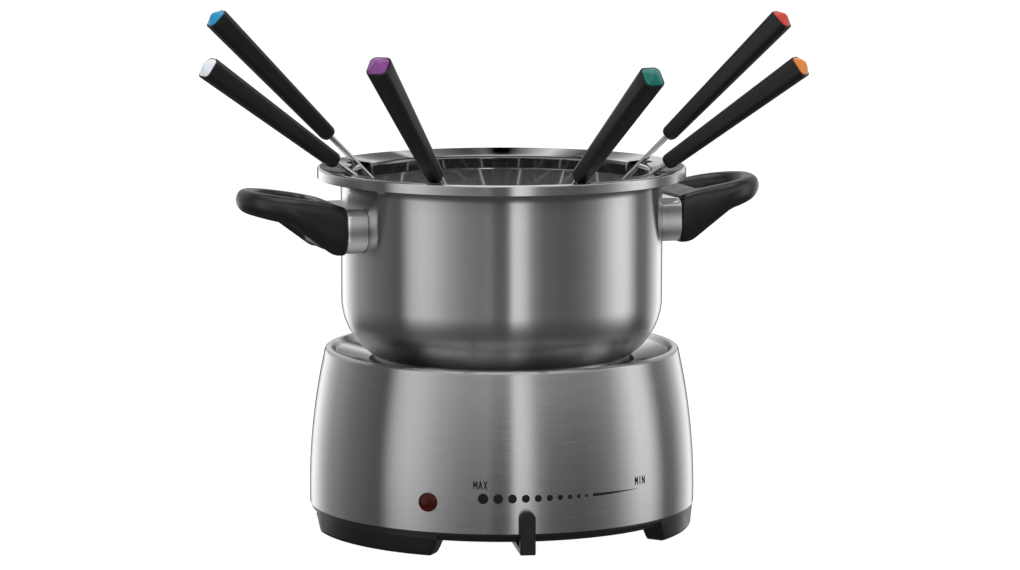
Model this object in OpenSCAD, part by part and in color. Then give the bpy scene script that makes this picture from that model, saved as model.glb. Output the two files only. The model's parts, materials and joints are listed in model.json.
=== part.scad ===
// Electric fondue set: heated base with a temperature lever, lift-off pot with two
// loop handles, lift-off fork ring and six forks with coloured caps.
// Origin: centre of the base on the table. +Z up, front (lever and scale) at -Y.
// Angles round the base are measured from the front, positive towards +X.

/* [Base] */
// Widest radius of the base casing
casing_r = 96.3; // [92:0.1:100]
// Height of the casing's crest above the table
casing_top = 90.8; // [90:0.1:94]
// Height of the casing's lower edge above the table
casing_bottom = 12.9; // [12.5:0.1:14]
// Radius of the casing's barrel curve, seen from the side
bulge_r = 305; // [280:5:340]
// Radius of the recess that the pot stands in
recess_r = 65.6; // [65.2:0.1:66]
// Angle that one foot covers
foot_span = 55; // [45:1:60]
// Angle of each front foot's centre from the front
foot_angle = 64.5; // [62:0.5:70]

/* [Control] */
// Lever's angle at rest
lever_rest = -10.8; // [-26:0.1:26]
// Width of the lever's tab
lever_w = 7.6; // [6:0.1:9]
// Angle of the pilot lamp
lamp_angle = -39.6; // [-50:0.1:-35]
// Height of the pilot lamp
lamp_z = 27.7; // [24:0.1:32]
// Diameter of the lamp's lens
lamp_d = 9.2; // [8:0.1:10]

/* [Pot] */
// Outer radius of the pot's wall
pot_r = 80.1; // [78:0.1:81]
// Height where the pot's rim begins to flare
flare_z = 170.5; // [168:0.1:171]
// Radius of the pot's lower corner
corner_r = 33; // [30:0.5:34]
// Thickness of the pot's sheet
sheet = 1; // [0.8:0.1:1.2]
// Reach of the loop handles from the pot's axis
handle_reach = 135.5; // [130:0.5:140]
// Width of a loop handle
handle_w = 52; // [48:0.5:54]

/* [Fork ring] */
// Outer radius of the ring
ring_r = 91.8; // [91.6:0.1:93]
// Inner radius of the ring's collar
ring_inner_r = 72.9; // [72:0.1:74]
// Height of the ring's top edge
ring_top = 181; // [180.9:0.1:182]
// Turn of the ring as it lies on the pot
ring_turn = -16; // [-17:0.5:-15]
// Width of a fork notch
notch_w = 13; // [12.5:0.5:14]

/* [Forks] */
// Length of a fork's handle
grip_l = 86; // [80:1:90]
// Width across the flats of a handle at its cap
grip_w = 11; // [9:0.1:12]
// Width across the flats of a handle at its lower end
grip_low_w = 7.6; // [6:0.1:7.8]
// Length from a handle's lower end to the points of the tines
prong_reach = 124; // [110:1:125]
// Radius of a fork's shaft
shaft_r = 1.4; // [1.2:0.05:1.5]

/* [Hidden] */
$fn = 96;
EPS = 0.05; // smallest gap between touching pieces
STEPS = 12; // steps of a rounded stretch of outline

// Forks: angle of the seat, bearing and lean of the shaft, distance from the seat
// to the handle's lower end, and roll of the tines.
FORK_BLUE = [-127.5, -83.1, 44.9, 19.2, 35];
FORK_WHITE = [-91.3, -76.2, 54.9, 9.1, 0];
FORK_PURPLE = [-40.8, -42.4, 46.8, 3, 0];
FORK_GREEN = [9.3, 11.5, 51.2, 3, 0];
FORK_ORANGE = [57.3, 47.8, 54.2, 7.2, 0];
FORK_RED = [96.1, 47.9, 45.1, 18.5, -35];
seat_r = 78.2; // radius and height of the point where every shaft crosses the ring
seat_z = 180;

wide_z = 20; // height of the casing's widest line
shoulder_r = 2.4;
shoulder_x = casing_r - 10.1;
rim_step_x = shoulder_x - 3;
dish_z = casing_top - 2.6; // outer edge of the sloping dish
recess_z = 84.6; // inner edge of the dish
ledge_z = 75.9; // ledge that carries the hot plate
ledge_t = 1;
ledge_inner_r = 50;

tray_z = 8.6; // underside of the tray's floor
tray_t = 2;
skirt_r = casing_r - 0.7;
pad_t = 0.8;
pad_span = 40; // angle that one pad covers
foot_inner_r = 83;
foot_taper = 4; // slope of a foot's ends
foot_screw_r = 89; // circle of the screws in the feet

plate_z = 82.95; // top of the hot plate
plate_r = 63;
plate_t = 6;
stud_ring_r = 55;
stud_r = 2;
element_r = 40;
element_tube_r = 3.3;
element_z = 73.4;
element_gap = 24; // half of the opening between the element's ends
pin_z = element_z - 24; // lower end of the element's pins
wire_r = 1.1;
shield_z = 54;
shield_t = 0.8;
shield_r = 60;

lever_z = 3.6; // underside of the lever's arm
lever_t = 3.4; // thickness of the arm and of its tab
lever_reach = 101.2;
tab_z = 21; // centre of the tab's rounded top

terminal_y = 43; // front of the terminal block
terminal_pitch = 10; // spacing of its three terminals
terminal_z = tray_z + 13; // axis of its wire holes
fuse_y = -16; // axis of the thermal fuse
fuse_z = shield_z - 4;
earth_x = -42; // where the earth wire meets the shield

thermo_z = 56; // underside of the thermostat's ceramic body
thermo_h = 12;
spindle_r = 3;
bush_r = 4.5;
bush_z = 46;

pot_floor = 87.3; // underside of the pot's shell
pot_bottom = 83; // underside of the base cap
pot_base_r = 64;
flare_r = 7;
bead_r = 1.35;
bead_x = 88.2;
bead_z = flare_z + flare_r + 0.82;

handle_root = 86.6;
handle_low = 141.6;
handle_root_top = 164.6;
handle_tip_z = 166.8; // middle of the rounded tip
root_t = 13; // depth of the handle's root block
grip_t = 11; // thickness of the loop
ferrule_w = 51.4;
ferrule_low = 142.1;
ferrule_h = 22;
ferrule_corner = 5;
ferrule_t = 1.2;
screw_z = 153;
screw_l = 13; // length of a handle screw under its head
screw_seat = handle_root + 8; // where its head sits

ring_t = 0.9;
lip_low = 175.5;
collar_low = 172; // lower edge of the collar inside the pot's mouth
annulus_crease = 79;
notch_end = 82.4;

cord_r = 3.2;
cord_z = cord_r + 1; // height of the cord as it lies on the table
cord_exit_z = 22;
cord_exit_y = 112;
hank_left = 40; // centres of the hank's left and right bends
hank_right = 96;
hank_top = 202; // far side of the hank
hank_r = 34; // outermost bend
hank_pitch = 7.4;
plug_y = 168;
plug_r = 18.4;
plug_z = plug_r + 0.3;
plug_x = hank_left + 20; // where the cord enters the plug
pin_spread = 9.5; // from the plug's axis to each pin

// ---------- shared helpers ----------

// Points of an arc about a centre, from one angle to another
function arc(c, r, from, to, n = STEPS) =
    [for (i = [0 : n]) c + r * [cos(from + (to - from) * i / n), sin(from + (to - from) * i / n)]];

function backwards(points) = [for (i = [len(points) - 1 : -1 : 0]) points[i]];

// Radius of the casing's barrel-shaped side at a height
function side_r(z) = casing_r - pow(z - wide_z, 2) / (2 * bulge_r);

// Turns a piece that is drawn at the front to an angle round the base
module at_angle(a) rotate([0, 0, a]) children();

module at_feet() for (a = [foot_angle, -foot_angle, 180]) at_angle(a) children();

module at_studs() for (i = [0 : 2]) at_angle(60 + 120 * i) translate([0, -stud_ring_r, 0]) children();

// Turns a piece that is drawn along +Z to point outwards from the casing at a height
module on_side(angle, z) at_angle(angle) translate([0, -side_r(z), z]) rotate([90, 0, 0]) children();

// Round rod between two points
module rod(a, b, r) {
    v = b - a;
    translate(a)
        rotate([0, acos(v[2] / norm(v)), atan2(v[1], v[0])])
            cylinder(r = r, h = norm(v), $fn = 32);
}

// Insulated wire through a list of points
module wire(points, r) {
    for (i = [0 : len(points) - 2]) rod(points[i], points[i + 1], r);
    for (i = [1 : len(points) - 2]) translate(points[i]) sphere(r = r + 0.08, $fn = 32);
}

// Hexagonal nut with a round bore
module nut(across, h, bore_r) {
    difference() {
        cylinder(d = across / cos(30), h = h, $fn = 6);
        translate([0, 0, -1]) cylinder(r = bore_r, h = h + 2);
    }
}

// Rectangle with round corners, centred
module round_rect(w, h, r) {
    union() {
        square([w - 2 * r, h], center = true);
        square([w, h - 2 * r], center = true);
        for (x = [-1, 1], y = [-1, 1])
            translate([x * (w / 2 - r), y * (h / 2 - r)]) circle(r = r, $fn = 48);
    }
}

// ---------- base ----------

// One skin of the casing, moved inwards by the sheet's thickness t
function casing_skin(t) = concat(
    [for (i = [0 : STEPS * 2])
        let (z = casing_bottom + (casing_top - shoulder_r - casing_bottom) * i / (STEPS * 2))
        [side_r(z) - t, z]],
    arc([shoulder_x, casing_top - shoulder_r], shoulder_r - t, 8, 90),
    [[rim_step_x + 1.4, casing_top - 0.4 - t], [rim_step_x, dish_z + 0.8 - t],
     [rim_step_x - 1.2, dish_z - t]],
    arc([recess_r + 1.6, recess_z - 1.6], 1.6 - t, 90, 180, 6)
);

module base_casing() color("silver") {
    t = 1;
    difference() {
        rotate_extrude()
            polygon(concat(
                casing_skin(0),
                [[recess_r, ledge_z + ledge_t], [ledge_inner_r, ledge_z + ledge_t],
                 [ledge_inner_r, ledge_z], [recess_r + t, ledge_z]],
                backwards(casing_skin(t))
            ));
        on_side(lamp_angle, lamp_z) cylinder(r = lamp_d / 2 - 0.5, h = 12, center = true);
        on_side(180, cord_exit_z) cylinder(r = 6, h = 12, center = true);
        at_studs() translate([0, 0, ledge_z - 1]) cylinder(r = stud_r + 0.3, h = 4);
    }
    // lugs for the tray's screws
    at_feet() difference() {
        translate([-6, -(side_r(14) - 0.6), casing_bottom]) cube([12, 11, 1.6]);
        translate([0, -foot_screw_r, casing_bottom - 1]) cylinder(r = 1.5, h = 4);
    }
}

// Outline of the tray: floor, rounded edge and the lip under the casing
tray_outline = concat(
    [[12, tray_z], [skirt_r - 6, tray_z]],
    arc([skirt_r - 4, tray_z + 4], 4, -60, 0),
    [[skirt_r, casing_bottom - EPS], [skirt_r - 2.4, casing_bottom - EPS],
     [skirt_r - 2.4, tray_z + tray_t], [12, tray_z + tray_t]]
);

module foot() {
    difference() {
        rotate([0, 0, -90 - foot_span / 2]) rotate_extrude(angle = foot_span)
            polygon(concat(
                [[foot_inner_r, tray_z + 0.5], [foot_inner_r + 1.5, pad_t]],
                arc([skirt_r - 4.6, pad_t + 2.4], 2.4, -90, -12, 6),
                [[skirt_r - 0.6, tray_z + tray_t]]
            ));
        // sloping ends
        for (s = [-1, 1]) rotate([0, 0, s * foot_span / 2]) translate([0, -skirt_r, pad_t])
            rotate([0, -s * 20, 0]) translate([-s * 0.2 + (s > 0 ? 0 : -foot_taper), -6, -20])
                cube([foot_taper, 30, 20 + tray_z + 1]);
        // screw hole with a deep counterbore
        translate([0, -foot_screw_r, pad_t - 1]) cylinder(r = 3.6, h = 6.2);
        translate([0, -foot_screw_r, pad_t]) cylinder(r = 1.7, h = 20);
    }
}

module base_tray() color("#18181a") {
    difference() {
        rotate_extrude() polygon(tray_outline);
        at_feet() translate([0, -foot_screw_r, tray_z - 1]) cylinder(r = 3.6, h = tray_t + 2);
    }
    at_feet() foot();
    // bosses that carry the terminal block
    for (x = [-8, 8]) translate([x, 48, tray_z + 1]) cylinder(r = 3, h = 7);
}

module foot_pads() color("#222222")
    at_feet()
        rotate([0, 0, -90 - pad_span / 2]) rotate_extrude(angle = pad_span)
            translate([foot_inner_r + 2.2, 0]) square([skirt_r - foot_inner_r - 8.4, pad_t - 0.02]);

module tray_screws() color("#9a9a9a")
    at_feet() translate([0, -foot_screw_r, 0]) {
        difference() {
            translate([0, 0, 4.2]) cylinder(r = 3.1, h = 1.78);
            translate([0, 0, 4]) cylinder(r = 1.2, h = 1.4, $fn = 6);
        }
        translate([0, 0, 5.9]) cylinder(r = 1.45, h = 11);
    }

module hot_plate() color("#3c3c3e") {
    difference() {
        rotate_extrude()
            polygon(concat(
                [[0, plate_z - plate_t + EPS], [plate_r - 0.6, plate_z - plate_t + EPS],
                 [plate_r, plate_z - plate_t + 0.8]],
                arc([plate_r - 1.2, plate_z - 1.2], 1.2, 0, 90, 6),
                [[0, plate_z]]
            ));
        translate([0, 0, plate_z - plate_t - 1]) cylinder(r = bush_r + 1, h = 3);
    }
    at_studs() translate([0, 0, ledge_z - 12]) cylinder(r = stud_r, h = 14);
}

module heating_element() color("#77716a") {
    rotate([0, 0, 90 + element_gap]) rotate_extrude(angle = 360 - 2 * element_gap)
        translate([element_r, element_z - 0.05]) circle(r = element_tube_r, $fn = 48);
    // cold ends with their terminal pins
    for (s = [-1, 1]) rotate([0, 0, s * element_gap]) {
        translate([0, element_r, element_z - 16]) cylinder(r = element_tube_r + 0.2, h = 19.4);
        translate([0, element_r, pin_z]) cylinder(r = 1.4, h = 9);
    }
}

module heat_shield() color("#c8c8c4")
    difference() {
        rotate_extrude()
            polygon([[0, shield_z], [shield_r - 3, shield_z], [shield_r, shield_z + 3],
                     [shield_r, ledge_z - EPS], [stud_ring_r - 6, ledge_z - EPS],
                     [stud_ring_r - 6, ledge_z - shield_t], [shield_r - shield_t, ledge_z - shield_t],
                     [shield_r - shield_t, shield_z + 3.4], [shield_r - 3.4, shield_z + shield_t],
                     [0, shield_z + shield_t]]);
        // openings for the thermostat and the element's ends
        translate([0, 0, shield_z - 1]) cylinder(r = 24, h = 3);
        for (s = [-1, 1]) rotate([0, 0, s * element_gap])
            translate([0, element_r, shield_z - 1]) cylinder(r = 5, h = 3);
        at_studs() translate([0, 0, ledge_z - 2]) cylinder(r = stud_r + 0.3, h = 4);
    }

module plate_nuts() color("#b0b0b0")
    at_studs() translate([0, 0, ledge_z - shield_t - 3.3]) nut(7, 3.2, stud_r + 0.02);

module thermostat_body() color("#e8e2d4")
    difference() {
        union() {
            translate([-9, -7, thermo_z]) cube([18, 22, thermo_h]);
            translate([0, 0, bush_z]) cylinder(r = bush_r, h = thermo_z - bush_z + 1, $fn = 48);
        }
        // the spindle runs up through the bush
        translate([0, 0, bush_z - 1]) cylinder(r = spindle_r + 0.05, h = thermo_z - bush_z + 7);
    }

module thermostat_blades() color("#c8a24a") {
    for (i = [0 : 2]) translate([-3, 15 + EPS, thermo_z + 2 + 3 * i]) cube([6, 13 - 3 * i, 0.8]);
    translate([0, 21, thermo_z + 2.8]) cylinder(r = 1.4, h = 2.2 - EPS);
}

module thermostat_bracket() color("#b8b8b8")
    difference() {
        union() {
            translate([-11, -7, thermo_z + thermo_h + EPS]) cube([22, 26, 1]);
            for (s = [-1, 1]) translate([s * 14, 6, thermo_z + thermo_h + EPS])
                translate([-3.5, -4, 0]) cube([7, 8, 1]);
            for (s = [-1, 1]) translate([s * 15, 6, thermo_z + thermo_h + EPS])
                cylinder(r = 2.4, h = plate_z - plate_t - thermo_z - thermo_h - 2 * EPS);
        }
        translate([0, 0, thermo_z + thermo_h - 1]) cylinder(r = 3.4, h = 4);
    }

module thermal_fuse() color("#e9e4da") {
    translate([-30, fuse_y, fuse_z]) rotate([0, 90, 0]) cylinder(r = 2, h = 12);
    translate([-36, fuse_y, fuse_z]) rotate([0, 90, 0]) cylinder(r = 0.6, h = 24);
}

module terminal_block() color("#e4e0d2")
    difference() {
        translate([-15, terminal_y, tray_z + 8 + EPS]) cube([30, 10, 9]);
        for (i = [-1 : 1]) translate([i * terminal_pitch, terminal_y, terminal_z]) {
            translate([0, -1, 0]) rotate([-90, 0, 0]) cylinder(r = 1.9, h = 12);
            translate([0, 5, 0.5]) cylinder(r = 1.6, h = 6);
        }
    }

// Live: terminal block, thermostat, thermal fuse and one end of the element
module wire_live() color("#7a4a26") {
    wire([[terminal_pitch, terminal_y + 3, terminal_z], [terminal_pitch, terminal_y - 3, terminal_z],
          [terminal_pitch, 32, 28], [8, 24, 50], [0, 21.5, thermo_z - 0.4],
          [0, 21.5, thermo_z + 1.9]], wire_r);
    wire([[-11.7, fuse_y, fuse_z], [-2, -15, 47], [16, 6, 46],
          [element_r * sin(element_gap), element_r * cos(element_gap), pin_z - 2]], wire_r);
}

module wire_neutral() color("#3a6ea8")
    wire([[-terminal_pitch, terminal_y + 3, terminal_z], [-terminal_pitch, terminal_y - 3, terminal_z],
          [-12, 34, 30],
          [-element_r * sin(element_gap), element_r * cos(element_gap), pin_z - 2]], wire_r);

module wire_earth() color("#9aa83a")
    wire([[0, terminal_y + 3, terminal_z], [0, terminal_y - 3, terminal_z], [-8, 22, 24], [-30, 4, 40],
          [earth_x, 0, 50], [earth_x, 0, shield_z - EPS]], wire_r);

module lamp_lens() color("#5a1210")
    on_side(lamp_angle, lamp_z) {
        difference() {
            rotate_extrude()
                polygon(concat([[0, -9], [lamp_d / 2 - 0.6, -9], [lamp_d / 2 - 0.6, 0.2],
                                [lamp_d / 2, 0.2]],
                               [for (i = [0 : 8]) [lamp_d / 2 * cos(i * 11.25),
                                                   0.7 + 1.9 * sin(i * 11.25)]]));
            translate([0, 0, -10]) cylinder(r = 2.9, h = 9);
        }
    }

module lamp_clip() color("#cccccc")
    on_side(lamp_angle, lamp_z)
        difference() {
            translate([0, 0, -3.2]) cylinder(r = 6.5, h = 1);
            translate([0, 0, -4]) cylinder(r = lamp_d / 2 - 0.58, h = 3);
        }

module neon_lamp() color("#f0c090")
    on_side(lamp_angle, lamp_z) {
        translate([0, 0, -14]) cylinder(r = 2.6, h = 10);
        translate([0, 0, -4]) sphere(r = 2.6);
    }

module cord_grommet() color("#151515")
    translate([0, side_r(cord_exit_z), cord_exit_z]) rotate([-90, 0, 0]) difference() {
        rotate_extrude()
            polygon([[cord_r + 0.05, -4], [7.4, -4], [7.4, -1.6], [5.9, -1.6], [5.9, 0.6],
                     [7.6, 0.6], [7.6, 2.6], [5.2, 14], [cord_r + 0.05, 14]]);
        for (i = [0 : 3]) translate([0, 0, 5 + 2.4 * i]) difference() {
            cylinder(r = 9, h = 1);
            translate([0, 0, -1]) cylinder(r = 4.4, h = 3);
        }
    }

// Quarter bend of cord in the YZ plane, and half bend in the XY plane
module cord_bend(r, turn) rotate_extrude(angle = turn) translate([r, 0]) circle(r = cord_r, $fn = 48);

function bend_r(k) = hank_r - k * hank_pitch / 2;
function straight_y(k) = (k % 2 == 0)
    ? hank_top - k / 2 * hank_pitch
    : hank_top - 2 * hank_r + (k - 1) / 2 * hank_pitch;

module power_cord() color("#161616") {
    drop_r = (cord_exit_z - cord_z) / 2;
    entry_r = 30;
    last_r = (plug_y - straight_y(3)) / 2;
    climb_r = (plug_z - cord_z) / 2;
    // inside the base, through the grommet and down to the table
    translate([0, 62, cord_exit_z]) rotate([-90, 0, 0])
        cylinder(r = cord_r, h = cord_exit_y - 62, $fn = 48);
    translate([0, cord_exit_y, cord_exit_z - drop_r]) rotate([90, 0, 90]) cord_bend(drop_r, 90);
    translate([0, cord_exit_y + 2 * drop_r, cord_exit_z - drop_r]) rotate([90, 180, 90])
        cord_bend(drop_r, 90);
    translate([0, cord_exit_y + 2 * drop_r, cord_z]) rotate([-90, 0, 0])
        cylinder(r = cord_r, h = hank_top - entry_r - cord_exit_y - 2 * drop_r, $fn = 48);
    translate([entry_r, hank_top - entry_r, cord_z]) rotate([0, 0, 90]) cord_bend(entry_r, 90);
    translate([entry_r, hank_top, cord_z]) rotate([0, 90, 0])
        cylinder(r = cord_r, h = hank_right - entry_r, $fn = 48);
    // two turns of the hank, the bends shrinking by half a pitch each time
    for (k = [0 : 3]) {
        right = k % 2 == 0;
        r = k < 3 ? bend_r(k) : last_r;
        translate([right ? hank_right : hank_left, straight_y(k) + (right ? -r : r), cord_z])
            rotate([0, 0, right ? -90 : 90]) cord_bend(r, 180);
        if (k < 3) translate([hank_left, straight_y(k + 1), cord_z]) rotate([0, 90, 0])
            cylinder(r = cord_r, h = hank_right - hank_left, $fn = 48);
    }
    // climb to the plug
    translate([hank_left, plug_y, cord_z + climb_r]) rotate([90, 0, 0]) rotate([0, 0, -90])
        cord_bend(climb_r, 90);
    translate([hank_left + 2 * climb_r, plug_y, cord_z + climb_r]) rotate([90, 0, 0])
        rotate([0, 0, 90]) cord_bend(climb_r, 90);
    translate([hank_left + 2 * climb_r, plug_y, plug_z]) rotate([0, 90, 0])
        cylinder(r = cord_r, h = 8, $fn = 48);
}

module mains_plug() color("#161616")
    translate([plug_x, plug_y, plug_z]) rotate([0, 90, 0]) difference() {
        rotate_extrude()
            polygon([[0, 0], [5, 0], [6.4, 8], [13.5, 16], [plug_r - 0.6, 18],
                     [plug_r, 19], [plug_r, 33], [plug_r - 1, 34], [0, 34]]);
        translate([0, 0, -1]) cylinder(r = cord_r + 0.05, h = 6);
        for (s = [-1, 1]) translate([0, s * pin_spread, 24]) cylinder(r = 2.45, h = 12);
        for (s = [-1, 1]) translate([s * (plug_r + 1), 0, 24]) cube([5, 8, 24], center = true);
    }

module plug_pins() color("#c9c9c9")
    translate([plug_x, plug_y, plug_z]) rotate([0, 90, 0]) {
        for (s = [-1, 1]) translate([0, s * pin_spread, 24.2]) {
            cylinder(r = 2.4, h = 26);
            translate([0, 0, 26]) sphere(r = 2.4, $fn = 48);
        }
    }

// Wire tie round the hank's far strands
module cord_tie() color("#202020") {
    tie_t = 0.7;
    tie_w = hank_pitch + 2 * cord_r + 2 * tie_t + 2 * EPS;
    tie_h = 2 * cord_r + 2 * tie_t + 2 * EPS;
    translate([68, hank_top - hank_pitch / 2, 0]) difference() {
        translate([-2, -tie_w / 2, cord_z - tie_h / 2]) cube([4, tie_w, tie_h]);
        translate([-3, -tie_w / 2 + tie_t, cord_z - tie_h / 2 + tie_t])
            cube([6, tie_w - 2 * tie_t, tie_h - 2 * tie_t]);
    }
}

// ---------- lever ----------

module control_lever() color("#17171a")
    at_angle(lever_rest) difference() {
        union() {
            translate([-lever_w / 2, -lever_reach, lever_z]) cube([lever_w, lever_t, tab_z - lever_z]);
            translate([0, lever_t - lever_reach, tab_z]) rotate([90, 0, 0])
                cylinder(r = lever_w / 2, h = lever_t, $fn = 48);
            translate([-lever_w / 2, -lever_reach, lever_z]) cube([lever_w, lever_reach, lever_t]);
            translate([0, 0, lever_z]) cylinder(r = 9, h = 4);
        }
        translate([0, 0, 5]) cylinder(r = spindle_r + 0.02, h = 5);
        translate([0, 0, 3]) cylinder(r = 1.6, h = 4);
    }

module thermostat_spindle() color("#b5b5b5")
    at_angle(lever_rest) difference() {
        translate([0, 0, 5 + EPS]) cylinder(r = spindle_r, h = thermo_z + 4 - 5);
        translate([0, 0, 4]) cylinder(r = 1.27, h = 10);
    }

module lever_screw() color("#a0a0a0") {
    translate([0, 0, 2]) cylinder(r = 3, h = 1.58);
    translate([0, 0, 3]) cylinder(r = 1.25, h = 9);
}

// ---------- pot ----------

// One skin of the pot, from the floor's centre to the flared rim; t = 0 outside
function pot_skin(t) = concat(
    [[0, pot_floor + t]],
    arc([pot_r - corner_r, pot_floor - 4.8 + corner_r], corner_r - t,
        -asin((corner_r - 4.8 - t) / (corner_r - t)), 0, STEPS * 2),
    arc([pot_r + flare_r, flare_z], flare_r + t, 180, 90)
);

module pot_shell() color("silver") {
    rotate_extrude()
        polygon(concat(pot_skin(0), [[bead_x, flare_z + flare_r], [bead_x, flare_z + flare_r + sheet]],
                       backwards(pot_skin(sheet))));
    rotate_extrude() translate([bead_x, bead_z]) circle(r = bead_r, $fn = 48);
}

module pot_core() color("#c0c0c0")
    translate([0, 0, pot_bottom + 0.8 + EPS])
        cylinder(r = pot_base_r - 1, h = pot_floor - pot_bottom - 0.8 - 2 * EPS);

module pot_base_cap() color("silver")
    rotate_extrude()
        polygon(concat(
            [[0, pot_bottom + EPS]],
            arc([pot_base_r - 2.4, pot_bottom + 2.4 + EPS], 2.4, -90, 0, 6),
            [[pot_base_r, pot_floor - EPS], [pot_base_r - 0.8, pot_floor - EPS],
             [pot_base_r - 0.8, pot_bottom + 0.8], [0, pot_bottom + 0.8]]
        ));

// Loop handle on the +X side: plan outline cut to the side outline, which rises
// from a deep root to a rounded tip
module loop_handle() {
    end_x = handle_reach - handle_w / 2;
    difference() {
        intersection() {
            linear_extrude(200) difference() {
                union() {
                    translate([handle_root, -handle_w / 2])
                        square([end_x - handle_root, handle_w]);
                    translate([end_x, 0]) circle(d = handle_w);
                }
                translate([handle_root + root_t, -handle_w / 2 + grip_t])
                    square([end_x - handle_root - root_t, handle_w - 2 * grip_t]);
                translate([end_x, 0]) circle(d = handle_w - 2 * grip_t);
            }
            translate([0, handle_w, 0]) rotate([90, 0, 0]) linear_extrude(2 * handle_w)
                polygon(concat(
                    [[handle_root, handle_low + 2]],
                    arc([handle_root + 2, handle_low + 2], 2, 180, 270, 6),
                    [[92.2, handle_low], [94.4, handle_low + 1.4], [112.2, handle_low + 14.5],
                     [116, handle_low + 16.3], [126, handle_low + 18.7]],
                    arc([handle_reach - 6.6, handle_tip_z], 6.6, -60, 100, 16),
                    arc([handle_root + 2, handle_root_top - 2], 2, 90, 180, 6)
                ));
        }
        // screw hole and head recess
        translate([handle_root - 1, 0, screw_z]) rotate([0, 90, 0]) cylinder(r = 2.2, h = 20);
        translate([screw_seat, 0, screw_z]) rotate([0, 90, 0]) cylinder(r = 4.4, h = 14);
    }
}

module handle_right() color("#1a1a1c") loop_handle();

module handle_left() color("#1a1a1c") mirror([1, 0, 0]) loop_handle();

// Steel sleeve between the pot's wall and a handle
module ferrule() {
    difference() {
        translate([pot_r - 8, 0, ferrule_low + ferrule_h / 2]) rotate([90, 0, 90])
            linear_extrude(handle_root - EPS - pot_r + 8) difference() {
                round_rect(ferrule_w, ferrule_h, ferrule_corner);
                round_rect(ferrule_w - 2 * ferrule_t, ferrule_h - 2 * ferrule_t,
                           ferrule_corner - ferrule_t);
            }
        translate([0, 0, ferrule_low - 5]) cylinder(r = pot_r + EPS, h = ferrule_h + 10, $fn = 192);
    }
}

module ferrule_right() color("silver") ferrule();

module ferrule_left() color("silver") mirror([1, 0, 0]) ferrule();

module handle_brackets() color("#bdbdbd")
    for (m = [0, 1]) mirror([m, 0, 0]) difference() {
        translate([pot_r - 4, -12, screw_z - 7]) cube([handle_root - 2 * EPS - pot_r + 4, 24, 14]);
        translate([0, 0, screw_z - 12]) cylinder(r = pot_r + EPS, h = 24, $fn = 192);
        translate([pot_r - 6, -8, screw_z - 5]) cube([handle_root - pot_r + 3, 16, 10]);
        translate([pot_r - 6, 0, screw_z]) rotate([0, 90, 0]) cylinder(r = 2.05, h = 20);
    }

module handle_screws() color("#c4c4c4")
    for (m = [0, 1]) mirror([m, 0, 0]) translate([screw_seat - screw_l, 0, screw_z])
        rotate([0, 90, 0]) {
        cylinder(r = 2, h = screw_l + 2 * EPS);
        difference() {
            translate([0, 0, screw_l + EPS]) cylinder(r = 3.9, h = 2.4);
            translate([0, 0, screw_l + 2.4]) cube([1, 6, 2.4], center = true);
        }
    }

// ---------- fork ring ----------

ring_outline = concat(
    [[ring_r - ring_t, lip_low], [ring_r, lip_low]],
    arc([ring_r - 1.1, ring_top - 1.1], 1.1, 0, 90, 6),
    [[annulus_crease, ring_top - 1.7]],
    arc([ring_inner_r + 2.4, ring_top - 4.5], 2.4, 90, 180, 8),
    [[ring_inner_r, collar_low], [ring_inner_r + ring_t, collar_low]],
    arc([ring_inner_r + 2.4, ring_top - 4.5], 2.4 - ring_t, 180, 90, 8),
    [[annulus_crease, ring_top - 1.7 - ring_t], [ring_r - 1.4, ring_top - ring_t],
     [ring_r - ring_t, ring_top - 1.4]]
);

// Centres of the six notches, in mirrored pairs about the ring's own front
notch_angles = [25, 74.3, 113.3];

module fork_ring() color("silver") at_angle(ring_turn)
    difference() {
        rotate_extrude($fn = 192) polygon(ring_outline);
        for (a = notch_angles, s = [-1, 1]) at_angle(s * a) {
            corner = 3;
            cut_z = collar_low - 2;
            cut_h = ring_top - cut_z + 3;
            translate([-notch_w / 2, -notch_end + corner, cut_z])
                cube([notch_w, notch_end - corner - ring_inner_r + 3, cut_h]);
            translate([-notch_w / 2 + corner, -notch_end, cut_z])
                cube([notch_w - 2 * corner, corner + 1, cut_h]);
            for (x = [-1, 1]) translate([x * (notch_w / 2 - corner), -notch_end + corner, cut_z])
                cylinder(r = corner, h = cut_h, $fn = 48);
        }
    }

// ---------- forks ----------

// Places a fork: local +Z runs up its shaft and the seat is the local origin
module on_seat(fork)
    translate([seat_r * sin(fork[0]), -seat_r * cos(fork[0]), seat_z])
        rotate([fork[2], 0, fork[1]]) children();

// Square section with its corners rounded to a circle
module soft_square(w, h = 0.01)
    linear_extrude(h) intersection() {
        square(w, center = true);
        circle(d = w * 1.13, $fn = 32);
    }

module fork_handle(fork) color("#17171a") on_seat(fork) translate([0, 0, fork[3]])
    difference() {
        hull() {
            soft_square(grip_low_w * 0.7);
            translate([0, 0, 3]) soft_square(grip_low_w);
            translate([0, 0, grip_l]) soft_square(grip_w);
        }
        translate([0, 0, -1]) cylinder(r = shaft_r + 0.02, h = 33, $fn = 32);
        translate([0, 0, grip_l - 2]) soft_square(grip_w - 1.2, 3);
    }

module fork_cap(fork, c) color(c) on_seat(fork) translate([0, 0, fork[3] + grip_l]) {
    translate([0, 0, -2 + EPS]) soft_square(grip_w - 1.3, 2);
    hull() {
        soft_square(grip_w - 1.3);
        translate([0, 0, 1.7]) soft_square(grip_w * 0.55);
        translate([0, 0, 3]) cylinder(r = 0.5, h = 0.1, $fn = 16);
    }
}

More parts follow.
